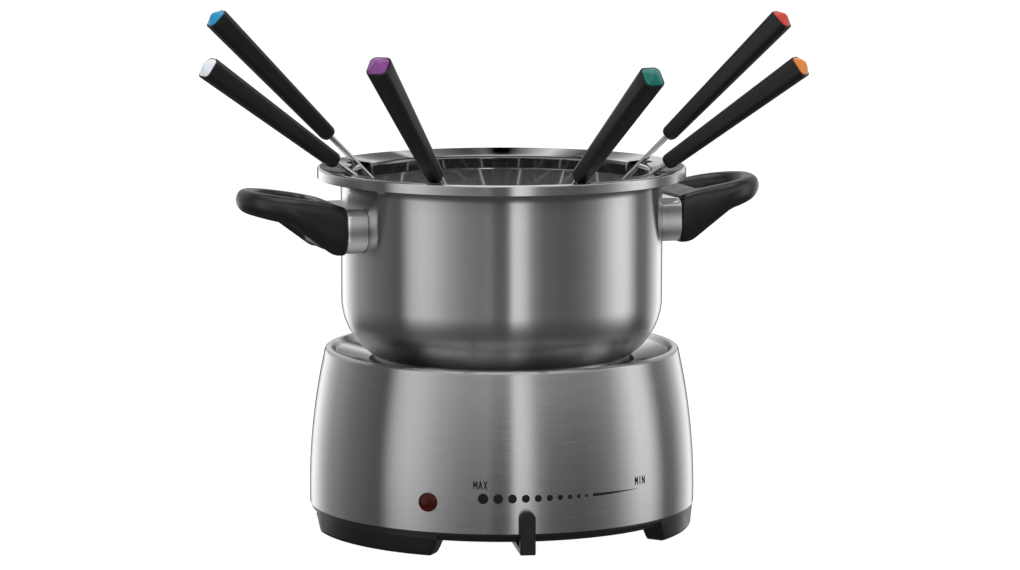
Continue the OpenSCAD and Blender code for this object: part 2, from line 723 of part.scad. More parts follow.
module fork_shaft(fork) color("#c2c2c2") on_seat(fork) {
    tine_l = 24;
    tine_r = 0.8;
    spread = 2.4;
    tip = fork[3] - prong_reach;
    crotch = tip + tine_l + spread;
    translate([0, 0, crotch + spread - 0.4])
        cylinder(r = shaft_r, h = fork[3] + 31 - crotch - spread, $fn = 32);
    rotate([0, 0, fork[4]]) {
        translate([0, 0, crotch]) rotate([90, 0, 0]) rotate_extrude(angle = 180)
            translate([spread, 0]) circle(r = tine_r, $fn = 32);
        for (s = [-1, 1]) translate([s * spread, 0, tip]) {
            translate([0, 0, 4]) cylinder(r = tine_r, h = crotch - tip - 4, $fn = 32);
            cylinder(r1 = 0.15, r2 = tine_r, h = 4, $fn = 32);
        }
    }
}

base_casing();
base_tray();
foot_pads();
tray_screws();
hot_plate();
heating_element();
heat_shield();
plate_nuts();
thermostat_body();
thermostat_blades();
thermostat_bracket();
thermal_fuse();
terminal_block();
wire_live();
wire_neutral();
wire_earth();
lamp_lens();
lamp_clip();
neon_lamp();
cord_grommet();
power_cord();
mains_plug();
plug_pins();
cord_tie();
control_lever();
thermostat_spindle();
lever_screw();
pot_shell();
pot_core();
pot_base_cap();
handle_left();
handle_right();
ferrule_left();
ferrule_right();
handle_brackets();
handle_screws();
fork_ring();
fork_handle(FORK_BLUE);  // blue_fork_handle
fork_shaft(FORK_BLUE);  // blue_fork_shaft
fork_cap(FORK_BLUE, "#1478a8");  // blue_fork_cap
fork_handle(FORK_WHITE);  // white_fork_handle
fork_shaft(FORK_WHITE);  // white_fork_shaft
fork_cap(FORK_WHITE, "#c8ccd2");  // white_fork_cap
fork_handle(FORK_PURPLE);  // purple_fork_handle
fork_shaft(FORK_PURPLE);  // purple_fork_shaft
fork_cap(FORK_PURPLE, "#8c4a94");  // purple_fork_cap
fork_handle(FORK_GREEN);  // green_fork_handle
fork_shaft(FORK_GREEN);  // green_fork_shaft
fork_cap(FORK_GREEN, "#0f7a6c");  // green_fork_cap
fork_handle(FORK_ORANGE);  // orange_fork_handle
fork_shaft(FORK_ORANGE);  // orange_fork_shaft
fork_cap(FORK_ORANGE, "#d88a3a");  // orange_fork_cap
fork_handle(FORK_RED);  // red_fork_handle
fork_shaft(FORK_RED);  // red_fork_shaft
fork_cap(FORK_RED, "#c23a2c");  // red_fork_cap
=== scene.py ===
"""Looks of an electric fondue set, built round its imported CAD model. Lengths are in metres."""
import json
import math

import bmesh
import bpy
from mathutils import Matrix, Vector


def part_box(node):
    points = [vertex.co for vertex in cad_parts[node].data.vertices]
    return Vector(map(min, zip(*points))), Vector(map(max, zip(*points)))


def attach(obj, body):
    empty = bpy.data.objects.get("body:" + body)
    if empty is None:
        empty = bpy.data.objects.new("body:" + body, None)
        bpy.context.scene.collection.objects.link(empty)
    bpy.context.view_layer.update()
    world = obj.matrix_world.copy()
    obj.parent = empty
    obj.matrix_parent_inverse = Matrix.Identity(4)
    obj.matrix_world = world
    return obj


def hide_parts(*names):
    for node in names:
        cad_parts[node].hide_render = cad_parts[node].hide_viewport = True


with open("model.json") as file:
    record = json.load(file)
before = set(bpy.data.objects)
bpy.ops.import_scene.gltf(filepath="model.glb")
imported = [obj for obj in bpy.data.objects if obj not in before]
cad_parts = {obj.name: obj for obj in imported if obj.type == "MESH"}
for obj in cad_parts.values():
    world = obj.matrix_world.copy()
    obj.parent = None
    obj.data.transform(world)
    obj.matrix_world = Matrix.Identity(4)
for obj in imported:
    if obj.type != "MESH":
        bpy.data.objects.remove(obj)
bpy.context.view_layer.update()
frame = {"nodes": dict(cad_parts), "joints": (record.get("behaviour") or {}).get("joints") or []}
BOXES = {name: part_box(name) for name in frame["nodes"]}

MM = 0.001
TURNS = 192  # steps of a turned piece
SHARP = math.radians(34)  # edges that bend more than this are creases

FORKS = ("blue", "white", "purple", "green", "orange", "red")
CAP_COLOURS = {
    "blue": (0.004, 0.19, 0.36),
    "white": (0.52, 0.55, 0.58),
    "purple": (0.15, 0.028, 0.17),
    "green": (0.0, 0.11, 0.085),
    "orange": (0.5, 0.15, 0.02),
    "red": (0.40, 0.028, 0.014),
}
# Turn of the tines of the forks that lie towards the back
TINE_TURNS = {"blue": math.radians(35), "red": math.radians(-35)}

# The camera stands off to the left of the set's front, a little above it
CAMERA_TURN = math.radians(-18)
CAMERA_REACH = 2.0103
CAMERA_HEIGHT = 0.3913
CAMERA_PITCH = 0.1337
CAMERA_LENS = 143.35
CAMERA_SHIFT = 0.0082


# ---------- shapes ----------

def box(node):
    """Lowest and highest corners of a CAD node."""
    return BOXES[node]


def rounded(corners, closed=True, step=math.radians(9), fixed=0):
    """Outline through (x, y, radius) corners, each corner rounded to its radius.
    Its arcs take a point per step of angle, or a fixed number of steps."""
    points = []
    count = len(corners)
    for i, (x, y, radius) in enumerate(corners):
        here = Vector((x, y))
        if radius == 0 or (not closed and i in (0, count - 1)):
            points.append(here)
            continue
        back = Vector(corners[i - 1][:2]) - here
        ahead = Vector(corners[(i + 1) % count][:2]) - here
        turn = math.pi - back.angle(ahead)
        reach = min(radius * math.tan(turn / 2), 0.49 * back.length, 0.49 * ahead.length)
        radius = reach / math.tan(turn / 2)
        back.normalize()
        ahead.normalize()
        centre = here + (back + ahead).normalized() * radius / math.cos(turn / 2)
        start = here + back * reach - centre
        end = here + ahead * reach - centre
        first = math.atan2(start.y, start.x)
        sweep = (math.atan2(end.y, end.x) - first + math.pi) % (2 * math.pi) - math.pi
        steps = fixed or max(2, math.ceil(abs(sweep) / step))
        for k in range(steps + 1):
            angle = first + sweep * k / steps
            points.append(centre + radius * Vector((math.cos(angle), math.sin(angle))))
    return points


def bridge(bm, a, b, closed=True):
    """Faces between two rows of vertices; a row of one vertex is a tip."""
    count = max(len(a), len(b))
    if count == 1:
        return
    for k in range(count if closed else count - 1):
        j = (k + 1) % count
        if len(a) == 1:
            bm.faces.new((a[0], b[j], b[k]))
        elif len(b) == 1:
            bm.faces.new((a[k], a[j], b[0]))
        else:
            bm.faces.new((a[k], a[j], b[j], b[k]))


def lathe(outline, closed=True):
    """Mesh made by turning an (r, z) outline about the Z axis."""
    bm = bmesh.new()
    rows = []
    for r, z in outline:
        if r < 1e-7:
            rows.append([bm.verts.new((0, 0, z))])
            continue
        angles = [2 * math.pi * k / TURNS for k in range(TURNS)]
        rows.append([bm.verts.new((r * math.cos(a), r * math.sin(a), z)) for a in angles])
    for i in range(len(rows) if closed else len(rows) - 1):
        bridge(bm, rows[i], rows[(i + 1) % len(rows)])
    bmesh.ops.recalc_face_normals(bm, faces=bm.faces)
    return bm


def tube(bm, path, radius, sides=20, ring=False):
    """Round tube along a path; radius is one number or one number per point."""
    count = len(path)
    radii = radius if isinstance(radius, (list, tuple)) else [radius] * count
    rows = []
    across = None
    for i, here in enumerate(path):
        before = path[i - 1] if i or ring else here
        after = path[(i + 1) % count] if i < count - 1 or ring else here
        along = (after - before).normalized()
        if across is None:
            across = along.orthogonal().normalized()
        across = (across - along * across.dot(along)).normalized()
        up = along.cross(across)
        turn = [2 * math.pi * k / sides for k in range(sides)]
        rows.append([bm.verts.new(here + (across * math.cos(t) + up * math.sin(t)) * radii[i])
                     for t in turn])
    for i in range(count if ring else count - 1):
        bridge(bm, rows[i], rows[(i + 1) % count])
    if not ring:
        bm.faces.new(rows[0][::-1])
        bm.faces.new(rows[-1])
    bmesh.ops.recalc_face_normals(bm, faces=bm.faces)
    return bm


def prism(bm, outline, low, high, place=Matrix.Identity(4)):
    """Prism of an (x, y) outline between two heights, put in place by a matrix."""
    rows = [[bm.verts.new(place @ Vector((p[0], p[1], z))) for p in outline] for z in (low, high)]
    bridge(bm, *rows)
    bm.faces.new(rows[0][::-1])
    bm.faces.new(rows[1])
    bmesh.ops.recalc_face_normals(bm, faces=bm.faces)
    return bm


def crease(bm):
    """Makes the edges that bend a lot sharp and the others smooth."""
    for edge in bm.edges:
        edge.smooth = len(edge.link_faces) == 2 and edge.calc_face_angle(0) < SHARP


def piece(name, bm, body, slot, material, *nodes, bevel=0.0):
    """Turns a mesh into a finished piece that rides on a body and stands for CAD nodes."""
    for face in bm.faces:
        face.smooth = True
    crease(bm)
    mesh = bpy.data.meshes.new(name)
    bm.to_mesh(mesh)
    bm.free()
    mesh.materials.append(material)
    obj = bpy.data.objects.new(name, mesh)
    bpy.context.scene.collection.objects.link(obj)
    if bevel:
        add_bevel(obj, bevel)
    if nodes:
        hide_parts(*nodes)
    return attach(obj, body)


def add_bevel(obj, width, segments=3):
    """Rounds the piece's sharp edges."""
    mod = obj.modifiers.new("edges", "BEVEL")
    mod.width = width
    mod.segments = segments
    mod.limit_method = "ANGLE"
    mod.angle_limit = SHARP
    mod.harden_normals = False


def repaint(obj, pick, *materials):
    """Adds materials; pick tells a face's material number from its reach, centre and normal."""
    for material in materials:
        obj.data.materials.append(material)
    for face in obj.data.polygons:
        face.material_index = pick(math.hypot(face.center.x, face.center.y), face.center, face.normal)
    return obj


def carve(obj, cutter):
    """Cuts a bmesh solid out of a piece and keeps only the result."""
    mesh = bpy.data.meshes.new("cutter")
    cutter.to_mesh(mesh)
    cutter.free()
    tool = bpy.data.objects.new("cutter", mesh)
    bpy.context.scene.collection.objects.link(tool)
    mod = obj.modifiers.new("cut", "BOOLEAN")
    mod.operation = "DIFFERENCE"
    mod.solver = "EXACT"
    mod.object = tool
    graph = bpy.context.evaluated_depsgraph_get()
    result = bpy.data.meshes.new_from_object(obj.evaluated_get(graph))
    obj.modifiers.remove(mod)
    old = obj.data
    obj.data = result
    bpy.data.objects.remove(tool)
    bpy.data.meshes.remove(mesh)
    bpy.data.meshes.remove(old)
    bm = bmesh.new()
    bm.from_mesh(result)
    crease(bm)
    bm.to_mesh(result)
    bm.free()


# ---------- materials ----------

class Nodes:
    """The node tree of a material or a world, with short ways to add nodes."""

    def __init__(self, holder):
        holder.use_nodes = True
        self.tree = holder.node_tree
        self.tree.nodes.clear()

    def add(self, kind, **inputs):
        """A node; a value that is a socket is linked, and any other is set."""
        node = self.tree.nodes.new(kind)
        self.set(node, **inputs)
        return node

    def set(self, node, **inputs):
        for key, value in inputs.items():
            if hasattr(node, key) and not key[0].isupper():
                setattr(node, key, value)
                continue
            label = int(key[1:]) if key[1:].isdigit() else key.replace("_", " ")
            socket = node.inputs[label]
            if isinstance(value, bpy.types.NodeSocket):
                self.tree.links.new(value, socket)
            else:
                socket.default_value = value

    def math(self, operation, a, b=0.0):
        return self.add("ShaderNodeMath", operation=operation, I0=a, I1=b).outputs[0]

    def compass(self, angle, stops, blue=1.0):
        """Greys laid round a full turn of an angle, as (degrees, grey) stops that start at -180."""
        ramp = self.add("ShaderNodeValToRGB", Fac=self.spread(angle, 0.0, 1.0, -math.pi, math.pi))
        marks = ramp.color_ramp.elements
        marks.remove(marks[1])
        for i, (degrees, grey) in enumerate(stops):
            spot = (degrees + 180) / 360
            mark = marks[0] if i == 0 else marks.new(spot)
            mark.position = spot
            mark.color = (grey, grey, grey * blue, 1)
        return ramp.outputs[0]

    def spread(self, value, low, high, start=0.0, end=1.0):
        """Maps a value from start..end to low..high."""
        node = self.add("ShaderNodeMapRange", Value=value, From_Min=start, From_Max=end,
                        To_Min=low, To_Max=high)
        return node.outputs[0]


class Graph(Nodes):
    """A material with one Principled shader."""

    def __init__(self, name):
        self.material = bpy.data.materials.new(name)
        super().__init__(self.material)
        self.shader = self.add("ShaderNodeBsdfPrincipled")
        self.add("ShaderNodeOutputMaterial", Surface=self.shader.outputs[0])
        self.place = self.add("ShaderNodeTexCoord").outputs["Object"]

    def noise(self, place, scale, detail=3.0, rough=0.5):
        node = self.add("ShaderNodeTexNoise", Vector=place, Scale=scale, Detail=detail, Roughness=rough)
        return node.outputs[0]

    def tint(self, value, dark, light):
        node = self.add("ShaderNodeMix", data_type="RGBA", I0=value)
        node.inputs[6].default_value = (*dark, 1)
        node.inputs[7].default_value = (*light, 1)
        return node.outputs[2]

    def bump(self, height, strength, distance):
        return self.add("ShaderNodeBump", Height=height, Strength=strength, Distance=distance).outputs[0]

    def grain_place(self, along, across):
        """Coordinates whose noise runs in fine lines round the Z axis."""
        split = self.add("ShaderNodeSeparateXYZ", I0=self.place)
        x, y, z = split.outputs
        square = self.math("ADD", self.math("MULTIPLY", x, x), self.math("MULTIPLY", y, y))
        depth = self.math("ADD", z, self.math("SQRT", square))
        joined = self.add("ShaderNodeCombineXYZ", I0=self.math("MULTIPLY", x, along),
                          I1=self.math("MULTIPLY", y, along), I2=self.math("MULTIPLY", depth, across))
        return joined.outputs[0]


def brushed_steel(name, tone=0.56, roughness=0.26, stretch=0.95, grain=1.0):
    """Stainless steel with a fine grain that runs round the Z axis."""
    g = Graph(name)
    fine = g.noise(g.grain_place(60, 2600), 1.0, 4.0, 0.6)
    broad = g.noise(g.grain_place(30, 700), 1.0, 2.0)
    cloud = g.noise(g.place, 18.0, 2.0)
    both = g.math("ADD", g.math("MULTIPLY", fine, 0.7), g.math("MULTIPLY", broad, 0.3))
    shade = g.spread(both, 1 - 0.10 * grain, 1 + 0.10 * grain, 0.35, 0.65)
    shade = g.math("MULTIPLY", shade, g.spread(cloud, 0.96, 1.04))
    colour = g.tint(g.math("MULTIPLY", shade, 0.5), (0, 0, 0), (2 * tone, 1.99 * tone, 1.98 * tone))
    tangent = g.add("ShaderNodeTangent", direction_type="RADIAL", axis="Z")
    normal = g.bump(both, 0.012 * grain, 0.02 * MM)
    g.set(g.shader, Base_Color=colour, Metallic=1.0, Anisotropic=stretch, Anisotropic_Rotation=0.25,
          Roughness=g.spread(both, roughness - 0.05 * grain, roughness + 0.05 * grain, 0.3, 0.7),
          Tangent=tangent.outputs[0], Normal=normal)
    return g.material


def polished_steel(name, tone=0.62, roughness=0.09, bright=1.0):
    """Bright steel with faint wiping marks."""
    g = Graph(name)
    smudge = g.noise(g.place, 60.0, 3.0)
    g.set(g.shader, Metallic=bright,
          Base_Color=g.tint(smudge, (tone * 0.95,) * 3, (tone * 1.04, tone * 1.035, tone * 1.03)),
          Roughness=g.spread(smudge, roughness * 0.8, roughness * 1.2, 0.3, 0.7))
    return g.material


def steel_with_painted_bands(name, phase):
    """Drawn steel strip with soft lengthwise bands of painted highlight and shade."""
    g = Graph(name)
    place = g.add("ShaderNodeSeparateXYZ", I0=g.place).outputs
    # painted bands of highlight and shade up the sleeve's height
    painted_bands = g.math("SINE", g.math("ADD", g.math("MULTIPLY", place[2], 546.0), phase))
    drift = g.math("MULTIPLY", g.noise(g.place, 90.0, 2.0), 0.5)
    shade = g.spread(g.math("ADD", painted_bands, drift), 0.0, 1.0, -1.0, 1.5)
    g.set(g.shader, Base_Color=g.tint(shade, (0.24, 0.24, 0.24), (0.96, 0.96, 0.95)), Metallic=0.6,
          Roughness=g.spread(shade, 0.2, 0.13))
    return g.material


def moulded(name, colour, roughness=0.42, grain=1.0, coat=0.0, specular=0.5):
    """Moulded plastic: slight colour drift, a fine spark-eroded grain and rubbed patches."""
    g = Graph(name)
    drift = g.noise(g.place, 25.0, 3.0)
    skin = g.noise(g.place, 2400.0, 3.0, 0.65)
    rub = g.noise(g.place, 110.0, 3.0)
    dark = tuple(c * 0.88 for c in colour)
    light = tuple(c * 1.14 for c in colour)
    g.set(g.shader, Base_Color=g.tint(drift, dark, light), Coat_Weight=coat, Coat_Roughness=0.12,
          Roughness=g.spread(rub, roughness - 0.05, roughness + 0.06, 0.3, 0.7),
          Specular_IOR_Level=specular, Normal=g.bump(skin, 0.16 * grain, 0.03 * MM))
    return g.material


def steel_with_painted_reflections(name, painted_fans, roughness):
    """Bright steel whose colour holds painted reflections: fans of painted light and shade that stand
    still round the Z axis.
    """
    g = Graph(name)
    place = g.add("ShaderNodeSeparateXYZ", I0=g.place).outputs
    # tone is painted reflection: fans of light and shade laid round the Z axis
    tone = g.compass(g.math("ARCTAN2", place[1], place[0]), painted_fans)
    smudge = g.noise(g.place, 60.0, 3.0)
    g.set(g.shader, Base_Color=tone, Specular_Tint=tone, Metallic=1.0,
          Roughness=g.spread(smudge, roughness * 0.8, roughness * 1.2, 0.3, 0.7))
    return g.material


def metal(name, colour, roughness=0.3, wear=0.3):
    """Plain metal part with a mottled skin."""
    g = Graph(name)
    mottle = g.noise(g.place, 240.0, 5.0, 0.6)
    dark = tuple(c * (1 - wear) for c in colour)
    g.set(g.shader, Base_Color=g.tint(mottle, dark, colour), Metallic=1.0,
          Roughness=g.spread(mottle, roughness + 0.1, roughness - 0.06, 0.3, 0.7),
          Normal=g.bump(mottle, 0.08, 0.05 * MM))
    return g.material


def lamp_glass():
    """Dark red moulded lens with a faint glow in its depth."""
    g = Graph("lamp_red")
    facets = g.add("ShaderNodeTexVoronoi", Vector=g.place, Scale=420.0)
    drift = g.noise(g.place, 260.0, 2.0)
    g.set(g.shader, Base_Color=g.tint(drift, (0.012, 0.001, 0.0008), (0.05, 0.0035, 0.002)),
          Roughness=0.2, IOR=1.45, Specular_IOR_Level=0.25,
          Normal=g.bump(facets.outputs[0], 0.12, 0.15 * MM))
    return g.material


def ink():
    """Matt black pad print."""
    g = Graph("print_black")
    wear = g.noise(g.place, 700.0, 3.0)
    g.set(g.shader, Base_Color=g.tint(wear, (0.006, 0.006, 0.007), (0.012, 0.012, 0.013)),
          Roughness=g.spread(wear, 0.6, 0.8), Specular_IOR_Level=0.1)
    return g.material


def finishes():
    """The material of each of the record's material slots."""
    made = {
        "brushed_steel": brushed_steel("brushed_steel", tone=0.51, grain=0.4),
        "ring_steel": brushed_steel("ring_steel", tone=0.58, roughness=0.22, grain=0.5),
        # the ferrules' steel holds painted bands of highlight and shade
        "ferrule_steel": steel_with_painted_bands("ferrule_steel", 2.995),
        "base_plastic": moulded("base_plastic", (0.006, 0.006, 0.0065), 0.34, specular=0.3),
        "pad_rubber": moulded("pad_rubber", (0.02, 0.02, 0.02), 0.75, 2.0),
        "fastener_steel": metal("fastener_steel", (0.55, 0.54, 0.52)),
        "plate_coating": moulded("plate_coating", (0.022, 0.022, 0.024), 0.42, 3.0),
        "element_steel": metal("element_steel", (0.26, 0.22, 0.19), 0.42, 0.5),
        "shield_aluminium": metal("shield_aluminium", (0.74, 0.74, 0.73), 0.34, 0.15),
        "ceramic": moulded("ceramic", (0.74, 0.69, 0.60), 0.5, 1.5),
        "contact_brass": metal("contact_brass", (0.78, 0.55, 0.20), 0.28),
        "wire_brown": moulded("wire_brown", (0.19, 0.07, 0.025), 0.4),
        "wire_blue": moulded("wire_blue", (0.03, 0.13, 0.36), 0.4),
        "wire_green_yellow": moulded("wire_green_yellow", (0.28, 0.36, 0.03), 0.4),
        "lamp_red": lamp_glass(),
        "neon_glass": moulded("neon_glass", (0.85, 0.50, 0.25), 0.15, 0.2, coat=0.6),
        "cord_black": moulded("cord_black", (0.013, 0.013, 0.014), 0.48, 1.5),
        "tie_black": moulded("tie_black", (0.02, 0.02, 0.021), 0.4),
        "pin_nickel": metal("pin_nickel", (0.66, 0.64, 0.60), 0.2, 0.15),
        "handle_phenolic": moulded("handle_phenolic", (0.006, 0.006, 0.0068), 0.34, specular=0.6),
        "fork_black": moulded("fork_black", (0.006, 0.006, 0.0065), 0.34, specular=0.45),
        "fork_steel": polished_steel("fork_steel", tone=0.6, roughness=0.13),
    }
    for name in FORKS:
        made["cap_" + name] = moulded("cap_" + name, CAP_COLOURS[name], 0.34, 0.5, coat=0.15)
    return made


SLOTS = finishes()
INK = ink()


# ---------- base ----------

BULGE_R = 305 * MM  # the casing's side is an arc of this radius
WIDEST_Z = 20 * MM
SHEET = 1 * MM


def casing_radius(z):
    """Radius of the casing's side at a height."""
    return box("base_casing")[1].x - (z - WIDEST_Z) ** 2 / (2 * BULGE_R)


# Painted reflections on the casing's turned dish, fans of light and shade, as (degrees from +X, tone)
DISH_PAINTED_REFLECTIONS = (
    (-180, 0.5), (-150, 0.3), (-120, 0.7), (-90, 0.35), (-60, 0.7), (-30, 0.3), (-8, 0.5), (2, 0.7),
    (9, 0.95), (15, 0.3), (21, 0.75), (27, 0.35), (36, 0.6), (60, 0.35), (84, 0.6), (108, 0.4), (117, 0.3),
    (123, 0.7), (129, 0.3), (135, 0.62), (142, 0.25), (149, 0.8), (160, 0.5), (180, 0.5),
)


def build_casing():
    """Brushed casing: side, crest, turned dish and the wall of the recess, as one thin sheet."""
    low, high = box("base_casing")
    plate_r = box("hot_plate")[1].x
    recess_r = plate_r + 2.6 * MM
    crest_r = high.x - 10.1 * MM
    side_top = high.z - 2.2 * MM
    side = [(casing_radius(z), z, 0) for z in
            (low.z + 0.5 * MM + (side_top - low.z) * i / 24 for i in range(24))]
    outline = rounded(
        [(casing_radius(low.z) - SHEET, low.z, 0.3 * MM), (casing_radius(low.z), low.z, 0.45 * MM)]
        + side
        + [(casing_radius(high.z) + 0.15 * MM, high.z + 0.03 * MM, 2.6 * MM),
           (crest_r - 1.6 * MM, high.z - 0.3 * MM, 1.5 * MM),
           (crest_r - 3.4 * MM, high.z - 2.5 * MM, 1.6 * MM),
           (recess_r, high.z - 6.2 * MM, 1.6 * MM),
           (recess_r, low.z + 64 * MM, 0.5 * MM),
           (plate_r - 13 * MM, low.z + 64 * MM, 0.2 * MM),
           (plate_r - 13 * MM, low.z + 63 * MM, 0.2 * MM),
           (recess_r + SHEET, low.z + 63 * MM, 0.5 * MM),
           (recess_r + SHEET, high.z - 7.4 * MM, 1 * MM),
           (crest_r - 3.4 * MM, high.z - 3.6 * MM, 0.8 * MM),
           (crest_r - 1.6 * MM, high.z - 1.4 * MM, 0.8 * MM),
           (casing_radius(high.z) - 0.85 * MM, high.z - 1 * MM, 1.6 * MM)]
        + [(r - SHEET, z, 0) for r, z, _ in side[::-1]], step=math.radians(7))
    casing = piece("casing", lathe(outline), "base", "brushed_steel", SLOTS["brushed_steel"],
                   "base_casing")

    def is_dish(reach, middle, normal):
        return int(recess_r < reach < crest_r - 1 * MM and normal.z > 0.1)

    # the dish's colour holds painted reflections, fans of light and shade
    return repaint(casing, is_dish, steel_with_painted_reflections("dish_painted_reflections", DISH_PAINTED_REFLECTIONS, 0.1))


def on_casing(angle, z, out=0.0):
    """Point on the casing's side at an angle from the front."""
    r = casing_radius(z) + out
    return Vector((r * math.sin(angle), -r * math.cos(angle), z))


def build_tray():
    """Tray with a skirt under the casing and three wide feet."""
    low, high = box("base_tray")
    casing_low = box("base_casing")[0].z
    skirt = high.x
    floor = low.z + 7.8 * MM
    bm = lathe(rounded([(12 * MM, floor, 0.5 * MM), (skirt - 2.5 * MM, floor, 3 * MM),
                        (skirt, floor + 2.6 * MM, 2.4 * MM), (skirt, casing_low - 0.05 * MM, 0.3 * MM),
                        (skirt - 2.4 * MM, casing_low - 0.05 * MM, 0.3 * MM),
                        (skirt - 2.4 * MM, floor + 2 * MM, 0.5 * MM),
                        (12 * MM, floor + 2 * MM, 0.5 * MM)]))
    span = math.radians(55)
    inner = 83 * MM
    steps = 56
    for centre in (math.radians(64.5), math.radians(-64.5), math.pi):
        rows = []
        for i in range(steps + 1):
            # stations crowd towards the sloping ends
            share = 0.5 - 0.5 * math.cos(math.pi * i / steps)
            angle = centre + span * (share - 0.5)
            from_end = (0.5 - abs(share - 0.5)) * span * skirt
            slope = max(0.0, 1 - from_end / (4.2 * MM))
            lift = (floor + 1.2 * MM - low.z) * (0.12 * max(0.0, 1 - from_end / (6.5 * MM)) ** 2
                                                 + 0.88 * slope ** 1.15)
            under = low.z + lift
            top = floor + 1.6 * MM
            outline = rounded([(inner, top, 0), (inner + 0.17 * (top - under), under, 1 * MM),
                               (skirt - 0.1 * (top - under), under, 2.2 * MM),
                               (skirt - 0.02 * MM, top - 0.4 * MM, 3 * MM),
                               (skirt - 0.02 * MM, top + 3.4 * MM, 0)], closed=False, fixed=7)
            rows.append([bm.verts.new((r * math.sin(angle), -r * math.cos(angle), z))
                         for r, z in outline])
        for a, b in zip(rows, rows[1:]):
            bridge(bm, a, b)
        bm.faces.new(rows[0])
        bm.faces.new(rows[-1][::-1])
    bmesh.ops.recalc_face_normals(bm, faces=bm.faces)
    return piece("tray", bm, "base", "base_plastic", SLOTS["base_plastic"], "base_tray")


def build_hot_plate():
    """Cast plate with a rounded edge and faint turning grooves."""
    low, high = box("hot_plate")
    outline = [(0, high.z - 0.3 * MM)]
    grooves = 14
    for i in range(1, grooves * 6):
        r = (high.x - 6 * MM) * i / (grooves * 6)
        outline.append((r, high.z - 0.22 * MM - 0.08 * MM * math.cos(2 * math.pi * i / 6)))
    outline += [tuple(p) for p in rounded(
        [(high.x - 5 * MM, high.z - 0.3 * MM, 0), (high.x - 4.4 * MM, high.z, 0.4 * MM),
         (high.x, high.z, 1.4 * MM), (high.x, high.z - 5.9 * MM, 0.6 * MM),
         (0, high.z - 5.9 * MM, 0)], closed=False)]
    bm = lathe(outline, closed=False)
    for i in range(3):
        angle = math.radians(60 + 120 * i)
        stud = Vector((55 * MM * math.sin(angle), -55 * MM * math.cos(angle), 0))
        tube(bm, [stud + Vector((0, 0, low.z)), stud + Vector((0, 0, high.z - 5 * MM))], 2 * MM)
    return piece("plate", bm, "base", "plate_coating", SLOTS["plate_coating"], "hot_plate")


def build_lens():
    """Domed lens of the pilot lamp."""
    low, high = box("lamp_lens")
    centre_z = (low.z + high.z) / 2
    radius = (high.z - low.z) / 2
    middle = (low + high) / 2
    angle = math.atan2(middle.x, -middle.y)
    outline = [(0, -8 * MM), (radius - 0.6 * MM, -8 * MM), (radius - 0.6 * MM, 0.15 * MM),
               (radius - 0.15 * MM, 0.1 * MM), (radius, 0.35 * MM)]
    outline += [(radius * math.cos(a), 0.7 * MM + 1.8 * MM * math.sin(a))
                for a in (math.pi / 2 * i / 16 for i in range(17))]
    bm = lathe(outline, closed=False)
    place = Matrix.Translation(on_casing(angle, centre_z)) @ Matrix.Rotation(angle, 4, "Z") \
        @ Matrix.Rotation(math.pi / 2, 4, "X")
    bm.transform(place)
    return piece("lens", bm, "base", "lamp_red", SLOTS["lamp_red"], "lamp_lens")


# Print on the casing, with angles in degrees from the front
SCALE_Z = 30.4 * MM
DOTS = 10
FIRST_DOT = -23.3
DOT_STEP = 4.42
DOT_CLOSING = 0.115  # each step is a little shorter than the one before
DOT_LARGE, DOT_SMALL = 2.57 * MM, 0.69 * MM  # radii of the first and the last dot
WEDGE_START, WEDGE_TIP = 9.3, 25.3
WORDS = (("MAX", -24.1, 34.9 * MM), ("MIN", 26.4, 32.6 * MM))
STROKES = {
    "M": [((0, 0), (0, 1)), ((0, 1), (0.5, 0.35)), ((0.5, 0.35), (1, 1)), ((1, 1), (1, 0))],
    "A": [((0, 0), (0.5, 1)), ((0.5, 1), (1, 0)), ((0.18, 0.36), (0.82, 0.36))],
    "X": [((0, 0), (1, 1)), ((0, 1), (1, 0))],
    "I": [((0.5, 0), (0.5, 1))],
    "N": [((0, 0), (0, 1)), ((0, 1), (1, 0)), ((1, 0), (1, 1))],
}


